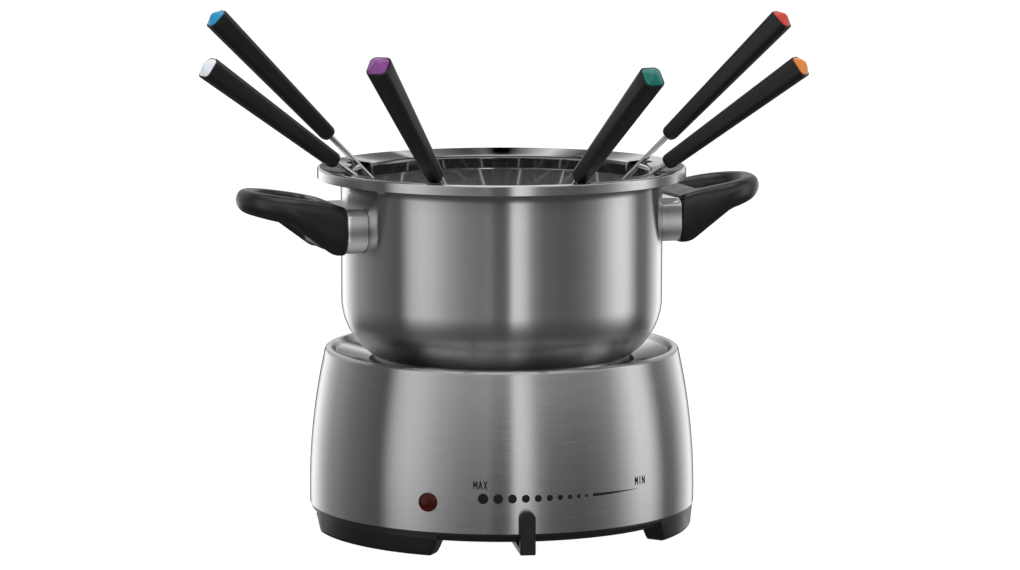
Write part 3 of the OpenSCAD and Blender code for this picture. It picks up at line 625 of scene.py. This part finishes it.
def build_scale():
    """Printed scale: shrinking dots, a wedge, and MAX and MIN in plain strokes."""
    bm = bmesh.new()
    lift = 0.06 * MM
    reach = casing_radius(WIDEST_Z)

    def patch(points):
        """Flat print from (distance along the side, height) points, wrapped on the casing."""
        outline = []
        for i, here in enumerate(points):
            ahead = points[(i + 1) % len(points)]
            steps = max(1, int(abs(ahead[0] - here[0]) / (1.5 * MM)))
            outline += [(here[0] + (ahead[0] - here[0]) * k / steps,
                         here[1] + (ahead[1] - here[1]) * k / steps) for k in range(steps)]
        bm.faces.new([bm.verts.new(on_casing(d / reach, z, lift)) for d, z in outline])

    def stroke(a, b, width):
        across = Vector((a[1] - b[1], b[0] - a[0])).normalized() * width / 2
        a, b = Vector(a), Vector(b)
        patch([tuple(a - across), tuple(b - across), tuple(b + across), tuple(a + across)])

    for i in range(DOTS):
        angle = math.radians(FIRST_DOT + DOT_STEP * i - DOT_CLOSING * i * i)
        size = DOT_LARGE + (DOT_SMALL - DOT_LARGE) * i / (DOTS - 1)
        patch([(angle * reach + size * math.cos(2 * math.pi * k / 28),
                SCALE_Z + size * math.sin(2 * math.pi * k / 28)) for k in range(28)])
    start, tip = math.radians(WEDGE_START) * reach, math.radians(WEDGE_TIP) * reach
    steps = 30
    low_z, high_z, tip_z = SCALE_Z - 0.75 * MM, SCALE_Z + 0.75 * MM, SCALE_Z + 0.35 * MM
    edges = [(start + (tip - start) * k / steps, low_z + (tip_z - low_z) * k / steps,
              high_z + (tip_z + 0.1 * MM - high_z) * k / steps) for k in range(steps + 1)]
    for a, b in zip(edges, edges[1:]):
        patch([(a[0], a[1]), (b[0], b[1]), (b[0], b[2]), (a[0], a[2])])
    wide, tall, pitch, pen = 1.55 * MM, 3.9 * MM, 2.45 * MM, 0.54 * MM
    for word, angle, z in WORDS:
        for i, letter in enumerate(word):
            left = math.radians(angle) * reach + (i - 1) * pitch - wide / 2
            for a, b in STROKES[letter]:
                stroke((left + a[0] * wide, z + a[1] * tall), (left + b[0] * wide, z + b[1] * tall), pen)
    return piece("scale_print", bm, "base", "base_plastic", INK)


def build_lever():
    """Lever with a round-topped tab that stands up in front of the casing."""
    low, high = box("control_lever")
    width = 7.6 * MM
    thick = 3.4 * MM
    reach = 101.2 * MM
    turn = math.radians(-10.8)
    half = width / 2
    arch = [(half * math.cos(a), high.z - half + half * math.sin(a))
            for a in (math.pi * i / 24 for i in range(25))]
    outline = arch + [(-half, low.z), (half, low.z)]
    bm = bmesh.new()
    stand = Matrix.Rotation(turn, 4, "Z") @ Matrix.Translation((0, thick - reach, 0)) \
        @ Matrix.Rotation(math.pi / 2, 4, "X")
    prism(bm, outline, 0, thick, stand)
    arm = [(-half, thick * 0.6 - reach), (half, thick * 0.6 - reach), (half, -8 * MM), (-half, -8 * MM)]
    prism(bm, arm, low.z, low.z + thick, Matrix.Rotation(turn, 4, "Z"))
    hub = [(9 * MM * math.cos(a), 9 * MM * math.sin(a))
           for a in (2 * math.pi * i / 48 for i in range(48))]
    prism(bm, hub, low.z, low.z + 4 * MM)
    return piece("lever", bm, "lever", "base_plastic", SLOTS["base_plastic"], "control_lever",
                 bevel=0.7 * MM)


# ---------- pot ----------

CORNER_R = 33 * MM


def build_pot():
    """Pressed pot with a round lower corner and a flared, rolled rim."""
    low, high = box("pot_shell")
    wall = pot_wall()
    floor_z = low.z
    flare_r = 7 * MM
    flare_z = high.z - 9.2 * MM
    centre = Vector((wall - CORNER_R, floor_z - 4.8 * MM + CORNER_R))

    def skin(t):
        start = -math.asin((CORNER_R - 4.8 * MM - t) / (CORNER_R - t))
        points = [Vector((0, floor_z + t))]
        points += [centre + (CORNER_R - t) * Vector((math.cos(a), math.sin(a)))
                   for a in (start * (1 - i / 30) for i in range(31))]
        points += [Vector((wall - t, centre.y + (flare_z - centre.y) * i / 6)) for i in range(1, 6)]
        flare = Vector((wall + flare_r, flare_z))
        points += [flare + (flare_r + t) * Vector((math.cos(a), math.sin(a)))
                   for a in (math.pi - math.pi / 2 * i / 12 for i in range(13))]
        return points

    bead_r = 1.35 * MM
    bead = Vector((high.x - bead_r, high.z - bead_r))
    roll = [bead + bead_r * Vector((math.cos(a), math.sin(a)))
            for a in (math.radians(-110 + 250 * i / 20) for i in range(21))]
    outline = skin(0) + roll + skin(SHEET)[::-1]
    bm = lathe(outline, closed=False)
    steel = brushed_steel("pot_steel", tone=0.59, roughness=0.24, grain=0.16)
    pot = piece("pot", bm, "pot", "brushed_steel", steel, "pot_shell")

    def is_inside(reach, middle, normal):
        inward = normal.x * middle.x + normal.y * middle.y < -1e-9
        return int(reach < wall - 0.5 * SHEET and (inward or normal.z > 0.05))

    return repaint(pot, is_inside, polished_steel("pot_inside", 0.55, 0.06, bright=0.84))


def pot_wall():
    """Outer radius of the pot's wall, where the sleeves of the handles meet it."""
    return 80.1 * MM


def build_pot_base():
    """Steel cap of the pot's thick base."""
    low, high = box("pot_base_cap")
    outline = rounded([(0, low.z, 0), (high.x, low.z, 2.4 * MM), (high.x, high.z, 0.4 * MM),
                       (high.x - 1.2 * MM, high.z, 0.2 * MM), (high.x - 1.2 * MM, low.z + 0.8 * MM, 0),
                       (0, low.z + 0.8 * MM, 0)], closed=False)
    return piece("pot_base", lathe(outline, closed=False), "pot", "brushed_steel",
                 SLOTS["brushed_steel"], "pot_base_cap")


def build_handle(side):
    """Moulded loop handle: a D in plan, flat and boxy at the root and round at the tip."""
    name = "handle_right" if side > 0 else "handle_left"
    low, high = box(name)
    root = min(abs(low.x), abs(high.x))
    tip = max(abs(low.x), abs(high.x))
    half = high.y
    end = tip - half
    root_t, grip_t = 13 * MM, 11 * MM
    deep = grip_t / 2

    def plan(corner_x, width, corner, steps=(8, 6, 14, 40)):
        """D outline; half of it runs from the middle of the root round to the tip."""
        flat, bend, arm, arc = steps
        points = [Vector((corner_x, -(width - corner) * i / flat)) for i in range(flat)]
        centre = Vector((corner_x + corner, corner - width))
        points += [centre - corner * Vector((math.cos(a), math.sin(a)))
                   for a in (math.pi / 2 * i / bend for i in range(bend))]
        points += [Vector((corner_x + corner + (end - corner_x - corner) * i / arm, -width))
                   for i in range(arm)]
        points += [Vector((end + width * math.sin(a), -width * math.cos(a)))
                   for a in (math.pi / 2 * i / arc for i in range(arc + 1))]
        return points + [Vector((p.x, -p.y)) for p in points[-2:0:-1]]

    # each skin runs between a widest outline and one in the middle of the loop
    skins = ((plan(root, half, 1.5 * MM), plan(root + 0.8 * MM, half - deep, 1.5 * MM), 0.68, 1.0),
             (plan(root + root_t, half - grip_t, 5 * MM), plan(root + root_t - deep, half - deep, 5 * MM),
              0.3, 0.45))
    under = rounded([(root - 5 * MM, low.z, 0), (92.6 * MM, low.z, 9 * MM),
                     (114 * MM, low.z + 15.9 * MM, 16 * MM), (tip + 5 * MM, low.z + 22 * MM, 0)],
                    closed=False, step=math.radians(2))
    root_top = low.z + 23 * MM

    def bottom(x):
        for a, b in zip(under, under[1:]):
            if a.x <= x <= b.x:
                return a.y + (b.y - a.y) * (x - a.x) / max(1e-9, b.x - a.x)
        return under[-1].y

    def top(x):
        share = max(0.0, min(1.0, (x - root) / (tip - 4 * MM - root))) ** 0.7
        return root_top + (high.z - root_top) * share

    bm = bmesh.new()
    loops = []
    levels = 14
    for wide, middle, upper, lower in skins:
        turn = [math.pi * (k / levels - 0.5) for k in range(levels + 1)]
        for a in turn if upper > 0.5 else turn[::-1]:
            inset = 1 - abs(math.cos(a)) ** 0.9
            loop = []
            for w, m in zip(wide, middle):
                # the edges are tighter at the root than round the tip
                far = max(0.0, min(1.0, (w.x - 92 * MM) / (32 * MM)))
                tight = upper if a > 0 else lower
                spot = w + (m - w) * inset * (tight + (1 - tight) * far)
                z0, z1 = bottom(spot.x), top(spot.x)
                v = 0.5 + 0.5 * math.sin(a)
                loop.append(bm.verts.new((side * spot.x, spot.y, z0 + (z1 - z0) * v)))
            loops.append(loop)
    for i in range(len(loops)):
        bridge(bm, loops[i], loops[(i + 1) % len(loops)])
    bmesh.ops.remove_doubles(bm, verts=bm.verts, dist=1e-6)
    bmesh.ops.recalc_face_normals(bm, faces=bm.faces)
    handle = piece("loop_" + name, bm, "pot", "handle_phenolic", SLOTS["handle_phenolic"], name)
    screw_low, screw_high = box("handle_screws")
    screw_z = (screw_low.z + screw_high.z) / 2
    cutter = bmesh.new()
    ends = [Vector((side * (root + depth), 0, screw_z)) for depth in (8 * MM, 20 * MM)]
    tube(cutter, ends, 4.4 * MM, 40)
    carve(handle, cutter)
    return handle


def build_ferrule(side):
    """Steel sleeve between the pot's wall and a handle, with rolled edges."""
    name = "ferrule_right" if side > 0 else "ferrule_left"
    low, high = box(name)
    outer_x = max(abs(low.x), abs(high.x))
    middle_z = (low.z + high.z) / 2
    wide, tall = high.y - low.y, high.z - low.z
    wall = pot_wall() + 0.05 * MM

    def ring(inset):
        w, h = wide / 2 - inset, tall / 2 - inset
        under, over = 6.5 * MM - inset, 3.8 * MM - inset
        return rounded([(-w, -h, under), (w, -h, under), (w, h, over), (-w, h, over)], fixed=12)

    def fitted(points, out):
        """A loop of the sleeve: out 0 lies on the pot's wall, out 1 at the handle."""
        row = []
        for y, z in points:
            # the sides bow out a little
            y *= 1 - 0.07 * (2 * z / tall) ** 2
            near = math.sqrt(wall * wall - y * y)
            x = near + (outer_x - near) * out
            row.append((side * x, y, middle_z + z))
        return row

    # across the sheet: outside skin with rolled ends, then back inside
    stations = [(0.0, 0.45 * MM), (0.03, 0.1 * MM), (0.1, 0.0)]
    stations += [(0.1 + 0.8 * i / 6, 0.0) for i in range(1, 6)]
    stations += [(0.93, 0.0), (0.98, 0.15 * MM), (1.0, 0.5 * MM), (1.0, 1.0 * MM), (0.9, 1.2 * MM),
                 (0.1, 1.2 * MM), (0.0, 1.0 * MM)]
    bm = bmesh.new()
    rows = [[bm.verts.new(p) for p in fitted(ring(inset), out)] for out, inset in stations]
    for i in range(len(rows)):
        bridge(bm, rows[i], rows[(i + 1) % len(rows)])
    bmesh.ops.recalc_face_normals(bm, faces=bm.faces)
    # the right sleeve gets its own copy, with its painted highlight and shade bands at other heights
    steel = steel_with_painted_bands("ferrule_steel_right_painted_bands", 6.1) if side > 0 else SLOTS["ferrule_steel"]
    return piece("sleeve_" + name[8:], bm, "pot", "ferrule_steel", steel, name)


# ---------- fork ring ----------

RING_TURN = math.radians(-16)
NOTCH_ANGLES = (25, 74.3, 113.3)
# Painted reflections on the ring's turned top, fans of light and shade, as (degrees from +X, tone)
RING_PAINTED_REFLECTIONS = (
    (-180, 0.25), (-150, 0.6), (-120, 0.3), (-95, 0.7), (-60, 0.35), (-18, 0.35), (-12, 0.5), (-6, 0.9),
    (6, 1.0), (18, 1.0), (24, 0.65), (31, 0.45), (42, 0.31), (48, 0.57), (54, 1.0), (60, 0.72), (66, 0.38),
    (70, 0.13), (74, 0.13), (78, 0.38), (84, 0.26), (96, 0.42), (105, 0.8), (109, 1.0), (112, 0.36),
    (120, 0.36), (127, 0.52), (132, 1.0), (138, 0.4), (148, 0.9), (156, 0.25), (180, 0.25),
)


def build_ring():
    """Ring with a brushed lip, a dished top, a rolled inner edge and six notches."""
    low, high = box("fork_ring")
    outer = high.x
    inner = 72.9 * MM
    t = 0.9 * MM
    lip = high.z - 5.5 * MM
    fold = 79 * MM
    outline = rounded([
        (outer - t, lip, 0.3 * MM), (outer, lip, 0.3 * MM), (outer, high.z, 1.1 * MM),
        (fold, high.z - 1.7 * MM, 12 * MM), (inner + 1 * MM, high.z - 2.0 * MM, 2.2 * MM),
        (inner, high.z - 3.5 * MM, 2.2 * MM), (inner, low.z, 0.4 * MM), (inner + t, low.z, 0.4 * MM),
        (inner + t, high.z - 4 * MM, 1.4 * MM), (inner + 2 * MM, high.z - 2.95 * MM, 1.2 * MM),
        (fold, high.z - 2.6 * MM, 12 * MM), (outer - t, high.z - t, 0.4 * MM)], step=math.radians(7))
    ring = piece("ring", lathe(outline), "ring", "ring_steel", SLOTS["ring_steel"], "fork_ring")
    wide, end, corner = 13 * MM, 82.4 * MM, 3 * MM
    half = wide / 2
    for angle in NOTCH_ANGLES:
        for side in (-1, 1):
            cutter = bmesh.new()
            notch = rounded([(-half, -inner + 3 * MM, 0), (-half, -end, corner), (half, -end, corner),
                             (half, -inner + 3 * MM, 0)])
            turn = Matrix.Rotation(RING_TURN + math.radians(side * angle), 4, "Z")
            prism(cutter, notch, low.z - 2 * MM, high.z + 2 * MM, turn)
            carve(ring, cutter)
    normals = ring.modifiers.new("normals", "WEIGHTED_NORMAL")
    normals.keep_sharp = True

    def zone(reach, middle, normal):
        if reach < inner + 1.5 * MM and middle.z < high.z - 2.3 * MM:
            return 2
        return int(reach < outer - 1.3 * MM)

    # the ring's top holds painted reflections, fans of light and shade
    return repaint(ring, zone, steel_with_painted_reflections("ring_painted_reflections", RING_PAINTED_REFLECTIONS, 0.07),
                   # the collar is a darker copy of the ring's steel: painted shade under the ring's top
                   polished_steel("ring_collar_painted_shade", 0.2, 0.06))


# ---------- forks ----------

def fork_place(colour):
    """Matrix of a fork: origin at its handle's lower end, +Z up the shaft; and its lengths."""
    joint = next(j for j in frame["joints"] if j["name"] == colour + "_fork_draw")
    axis = Vector(joint["axis"]).normalized()
    across = Vector((-axis.y, axis.x, 0)).normalized()
    side = axis.cross(across)

    def extent(part, direction):
        values = [v.co.dot(direction) for v in frame["nodes"][colour + "_fork_" + part].data.vertices]
        return min(values), max(values)

    grip_low, grip_high = extent("handle", axis)
    middle = [sum(extent("handle", d)) / 2 for d in (across, side)]
    origin = across * middle[0] + side * middle[1] + axis * grip_low
    place = Matrix((across, side, axis)).transposed().to_4x4()
    place.translation = origin
    wide = extent("handle", across)
    return {"place": place, "grip": grip_high - grip_low, "tip": extent("shaft", axis)[0] - grip_low,
            "cap": extent("cap", axis)[1] - grip_low, "wide": wide[1] - wide[0]}


def square_ring(width, round_share, sides=12):
    """Square section with round corners."""
    half = width / 2
    r = width * round_share
    points = []
    for corner, (cx, cy) in enumerate(((1, 1), (-1, 1), (-1, -1), (1, -1))):
        for i in range(sides + 1):
            a = math.pi / 2 * (corner + i / sides)
            points.append(Vector((cx * (half - r) + r * math.cos(a), cy * (half - r) + r * math.sin(a))))
    return points


def build_fork(colour):
    """Handle, cap and two-tined shaft of one fork."""
    fork = fork_place(colour)
    place, grip, wide = fork["place"], fork["grip"], fork["wide"]
    body = colour + "_fork"
    narrow = 0.69 * wide

    bm = bmesh.new()
    rows = []
    nose = 3.2 * MM

    def row(z, width, share=0.27):
        rows.append([bm.verts.new((p.x, p.y, z)) for p in square_ring(width, share)])

    row(0, 0.42 * narrow, 0.46)
    for i in range(1, 9):
        a = math.pi / 2 * i / 8
        width = narrow * (0.62 + 0.38 * math.sin(a))
        row(nose * (1 - math.cos(a)) * 0.9, width, 0.44 - 0.17 * i / 8)
    for i in range(1, 13):
        row(nose + (grip - 0.6 * MM - nose) * i / 12, narrow + (wide - narrow) * i / 12)
    row(grip - 0.2 * MM, wide - 0.12 * MM)
    row(grip, wide - 0.5 * MM)
    row(grip - 0.1 * MM, wide - 1.3 * MM)
    row(grip - 1.9 * MM, wide - 1.5 * MM)
    for a, b in zip(rows, rows[1:]):
        bridge(bm, a, b)
    bm.faces.new(rows[0][::-1])
    bm.faces.new(rows[-1])
    bmesh.ops.recalc_face_normals(bm, faces=bm.faces)
    bm.transform(place)
    piece(colour + "_grip", bm, body, "fork_black", SLOTS["fork_black"], body + "_handle")

    bm = bmesh.new()
    rows = []
    cap_wide = wide - 1.5 * MM
    top = fork["cap"]
    row(grip - 1.8 * MM, cap_wide - 0.5 * MM)
    row(grip - 0.1 * MM, cap_wide - 0.1 * MM)
    steps = 9
    for i in range(steps):
        share = i / (steps - 1)
        width = cap_wide * (1 - 0.93 * share)
        row(grip + 0.15 * MM + (top - grip - 0.15 * MM) * (1 - (1 - share) ** 1.35) * 0.98,
            width, 0.27 + 0.1 * share)
    rows.append([bm.verts.new((0, 0, top))])
    for a, b in zip(rows, rows[1:]):
        bridge(bm, a, b)
    bm.faces.new(rows[0][::-1])
    bmesh.ops.recalc_face_normals(bm, faces=bm.faces)
    bm.transform(place)
    piece(colour + "_cap", bm, body, "cap_" + colour, SLOTS["cap_" + colour], body + "_cap")

    bm = bmesh.new()
    shaft_r, tine_r, spread, tine_l = 1.4 * MM, 0.8 * MM, 2.4 * MM, 24 * MM
    tip = fork["tip"]
    crotch = tip + tine_l + spread
    neck = crotch + spread
    axis = [Vector((0, 0, z)) for z in (neck - 0.8 * MM, neck, neck + 2 * MM, neck + 6 * MM,
                                        -30 * MM, 0, 24 * MM)]
    tube(bm, axis, [0.6 * MM, 1.0 * MM, 1.3 * MM] + [shaft_r] * 4, 24)
    bend = [Vector((spread * math.cos(a), 0, crotch + spread * math.sin(a)))
            for a in (math.pi * i / 16 for i in range(17))]
    rise = [(0.0, 0.12), (1.2, 0.5), (3.2, 1.0), (4.2, 1.0), (4.6, 0.95), (12.0, 1.0)]
    tine = [(Vector((spread, 0, tip + z * MM)), tine_r * share) for z, share in rise]
    other = [(Vector((-p.x, 0, p.z)), r) for p, r in reversed(tine)]
    path = tine + [(p, tine_r) for p in bend] + other
    tines = bmesh.new()
    tube(tines, [p for p, _ in path], [r for _, r in path], 16)
    tines.transform(Matrix.Rotation(TINE_TURNS.get(colour, 0.0), 4, "Z"))
    spare = bpy.data.meshes.new("tines")
    tines.to_mesh(spare)
    tines.free()
    bm.from_mesh(spare)
    bpy.data.meshes.remove(spare)
    bm.transform(place)
    piece(colour + "_shaft", bm, body, "fork_steel", SLOTS["fork_steel"], body + "_shaft")


# ---------- cord and plug ----------

def build_plug():
    """Round moulded mains plug with a ribbed bend relief."""
    low, high = box("mains_plug")
    radius = (high.z - low.z) / 2
    centre = Vector((low.x, (low.y + high.y) / 2, (low.z + high.z) / 2))
    length = high.x - low.x
    outline = [(3.3 * MM, 0, 0), (5.4 * MM, 0, 0.6 * MM)]
    for i in range(3):
        z = (2.2 + 2.6 * i) * MM
        outline += [(5.6 * MM + i * 0.3 * MM, z, 0.3 * MM), (4.6 * MM + i * 0.3 * MM, z, 0.2 * MM),
                    (4.6 * MM + i * 0.3 * MM, z + 1.1 * MM, 0.2 * MM),
                    (5.8 * MM + i * 0.3 * MM, z + 1.1 * MM, 0.3 * MM)]
    outline += [(7.2 * MM, 10.5 * MM, 2 * MM), (13.5 * MM, 15.5 * MM, 5 * MM),
                (radius, 18.4 * MM, 1.6 * MM), (radius, length, 1.4 * MM), (0, length, 0)]
    bm = lathe(rounded(outline, closed=False) + [Vector((0, 0.5 * MM)), Vector((3.3 * MM, 0.5 * MM))],
               closed=True)
    bm.transform(Matrix.Translation(centre) @ Matrix.Rotation(math.pi / 2, 4, "Y"))
    return piece("plug", bm, "base", "cord_black", SLOTS["cord_black"], "mains_plug")


def build_grommet():
    """Ribbed bush where the cord leaves the casing."""
    low, high = box("cord_grommet")
    centre = Vector((0, high.y, (low.z + high.z) / 2))
    length = high.y - low.y
    outline = [(3.25 * MM, 0, 0.2 * MM), (5.0 * MM, 0, 0.5 * MM)]
    for i in range(4):
        z = (1.4 + 2.4 * i) * MM
        wide = (5.1 + 0.35 * i) * MM
        outline += [(wide, z, 0.3 * MM), (4.3 * MM, z, 0.2 * MM), (4.3 * MM, z + 1 * MM, 0.2 * MM),
                    (wide + 0.2 * MM, z + 1 * MM, 0.3 * MM)]
    outline += [(7.4 * MM, length - 6.6 * MM, 0.8 * MM), (7.5 * MM, length - 4.6 * MM, 0.4 * MM),
                (5.9 * MM, length - 4.6 * MM, 0), (5.9 * MM, length, 0.3 * MM),
                (3.25 * MM, length, 0.2 * MM)]
    bm = lathe(rounded(outline))
    bm.transform(Matrix.Translation(centre) @ Matrix.Rotation(math.pi / 2, 4, "X"))
    return piece("grommet", bm, "base", "cord_black", SLOTS["cord_black"], "cord_grommet")


# ---------- studio ----------

# Light round the set, as (bearing from the camera in degrees, brightness)
STUDIO_BANDS = (
    (-180, 0.06), (-165, 0.1), (-160, 1.55), (-150, 1.45), (-138, 0.88), (-126, 0.45), (-104, 0.25),
    (-77, 0.12), (-68, 0.85), (-59, 1.05), (-50, 0.92), (-38, 0.56), (-25, 0.32), (-14, 0.24), (-8, 0.32),
    (-5, 0.1), (5, 0.1), (8, 1.45), (15, 1.2), (22, 0.34), (30, 0.14), (48, 0.1), (60, 0.19), (71, 0.38),
    (81, 0.85), (90, 1.3), (100, 1.3), (114, 0.18), (126, 0.2), (151, 1.35), (160, 1.4), (165, 0.1),
)


# Light of the parts of the studio that lie over the bands
TABLE = 0.07  # dark table round the set
BACKDROP = 0.6  # grey wall behind the set
HOOD = 1.0  # soft light above the camera, and two patches of it behind the set
CEILING = 0.12
OVERHEAD = 1.8  # soft light straight above
TINGE = 1.01  # blue in the studio's light
FLOOR_REACH = 6.0  # half of the floor's side


def build_studio():
    """White floor, and a world of soft light panels that only reflections and light see."""
    world = bpy.data.worlds.new("studio")
    bpy.context.scene.world = world
    g = Nodes(world)
    towards = Vector((math.sin(CAMERA_TURN), -math.cos(CAMERA_TURN), 0))
    right = Vector((math.cos(CAMERA_TURN), math.sin(CAMERA_TURN), 0))
    look = g.add("ShaderNodeTexCoord").outputs["Generated"]

    def share(direction):
        """How far a direction of sight points along another."""
        dot = g.add("ShaderNodeVectorMath", operation="DOT_PRODUCT", I0=look, I1=direction)
        return dot.outputs["Value"]

    def layer(below, light, *edges):
        """Lays an even light over the one below, as far as the product of smooth edges."""
        amount = 1.0
        for value, start, stop in edges:
            edge = g.add("ShaderNodeMapRange", interpolation_type="SMOOTHSTEP", I0=value, I1=start,
                         I2=stop)
            amount = g.math("MULTIPLY", edge.outputs[0], amount)
        mix = g.add("ShaderNodeMix", data_type="RGBA", I0=amount, I6=below,
                    I7=(light, light, light * TINGE, 1))
        return mix.outputs[2]

    ahead, across = share(towards), share(right)
    height = g.add("ShaderNodeSeparateXYZ", I0=look).outputs[2]
    aside = g.math("ABSOLUTE", across)
    mixed = g.compass(g.math("ARCTAN2", across, ahead), STUDIO_BANDS, TINGE)
    mixed = layer(mixed, TABLE, (height, -0.22, -0.36))
    mixed = layer(mixed, BACKDROP, (ahead, -0.3, -0.7), (height, 0.03, 0.09))
    mixed = layer(mixed, HOOD, (ahead, -0.80, -0.90), (height, 0.05, 0.12), (aside, 0.02, 0.07),
                  (aside, 0.24, 0.14))
    mixed = layer(mixed, HOOD, (ahead, 0.1, 0.4), (height, 0.27, 0.40))
    mixed = layer(mixed, CEILING, (height, 0.62, 0.74))
    mixed = layer(mixed, OVERHEAD, (height, 0.84, 0.94))
    seen = g.add("ShaderNodeBackground", I0=(1, 1, 1, 1), I1=1.0)
    light = g.add("ShaderNodeBackground", I0=mixed, I1=1.0)
    path = g.add("ShaderNodeLightPath")
    blend = g.add("ShaderNodeMixShader", I0=path.outputs["Is Camera Ray"], I1=light.outputs[0],
                  I2=seen.outputs[0])
    g.add("ShaderNodeOutputWorld", Surface=blend.outputs[0])
    build_floor()
    build_lamps()


def build_floor():
    """White floor that glows, so that the picture's ground is even."""
    bm = bmesh.new()
    signs = ((-1, -1), (1, -1), (1, 1), (-1, 1))
    bm.faces.new([bm.verts.new((x * FLOOR_REACH, y * FLOOR_REACH, 0)) for x, y in signs])
    mesh = bpy.data.meshes.new("floor")
    bm.to_mesh(mesh)
    bm.free()
    floor = bpy.data.objects.new("floor", mesh)
    bpy.context.scene.collection.objects.link(floor)
    g = Graph("floor_white")
    speck = g.noise(g.place, 40.0, 2.0)
    g.set(g.shader, Base_Color=g.tint(speck, (0.10, 0.10, 0.10), (0.12, 0.12, 0.12)), Roughness=0.9,
          Specular_IOR_Level=0.1, Emission_Color=(1, 1, 1, 1), Emission_Strength=1.0)
    mesh.materials.append(g.material)
    floor.visible_glossy = False


def build_lamps():
    """Soft rectangular lights that face the set, and that neither the camera nor reflections see."""
    lamps = (("light_top", 0, 1.9, 0.25, (1.6, 1.6), 22), ("light_left", -70, 0.9, 1.6, (0.5, 1.2), 10),
             ("light_right", 70, 0.9, 1.6, (0.5, 1.2), 8))
    aim = Vector((0, 0, 0.12))
    for name, bearing, height, reach, size, power in lamps:
        data = bpy.data.lights.new(name, "AREA")
        data.shape = "RECTANGLE"
        data.size, data.size_y = size
        data.energy = power
        lamp = bpy.data.objects.new(name, data)
        angle = CAMERA_TURN + math.radians(bearing)
        lamp.location = (reach * math.sin(angle), -reach * math.cos(angle), height)
        lamp.rotation_euler = (aim - lamp.location).to_track_quat("-Z", "Y").to_euler()
        lamp.visible_camera = False
        lamp.visible_glossy = False
        bpy.context.scene.collection.objects.link(lamp)


def build_camera():
    """Camera in front of the set, turned to the photograph's side."""
    data = bpy.data.cameras.new("camera")
    data.sensor_width = 36
    data.lens = CAMERA_LENS
    data.shift_x = CAMERA_SHIFT
    camera = bpy.data.objects.new("camera", data)
    camera.location = (CAMERA_REACH * math.sin(CAMERA_TURN), -CAMERA_REACH * math.cos(CAMERA_TURN),
                       CAMERA_HEIGHT)
    camera.rotation_euler = (math.pi / 2 - CAMERA_PITCH, 0, CAMERA_TURN)
    bpy.context.scene.collection.objects.link(camera)
    bpy.context.scene.camera = camera
    bpy.context.scene.view_settings.view_transform = "Standard"


build_casing()
build_tray()
build_hot_plate()
build_lens()
build_scale()
build_lever()
build_pot()
build_pot_base()
for side in (-1, 1):
    build_handle(side)
    build_ferrule(side)
build_ring()
for colour in FORKS:
    build_fork(colour)
build_plug()
build_grommet()

for node in frame["nodes"].values():
    for holder in node.material_slots:
        holder.material = SLOTS[holder.material.name.split(".")[0]]

build_studio()
build_camera()
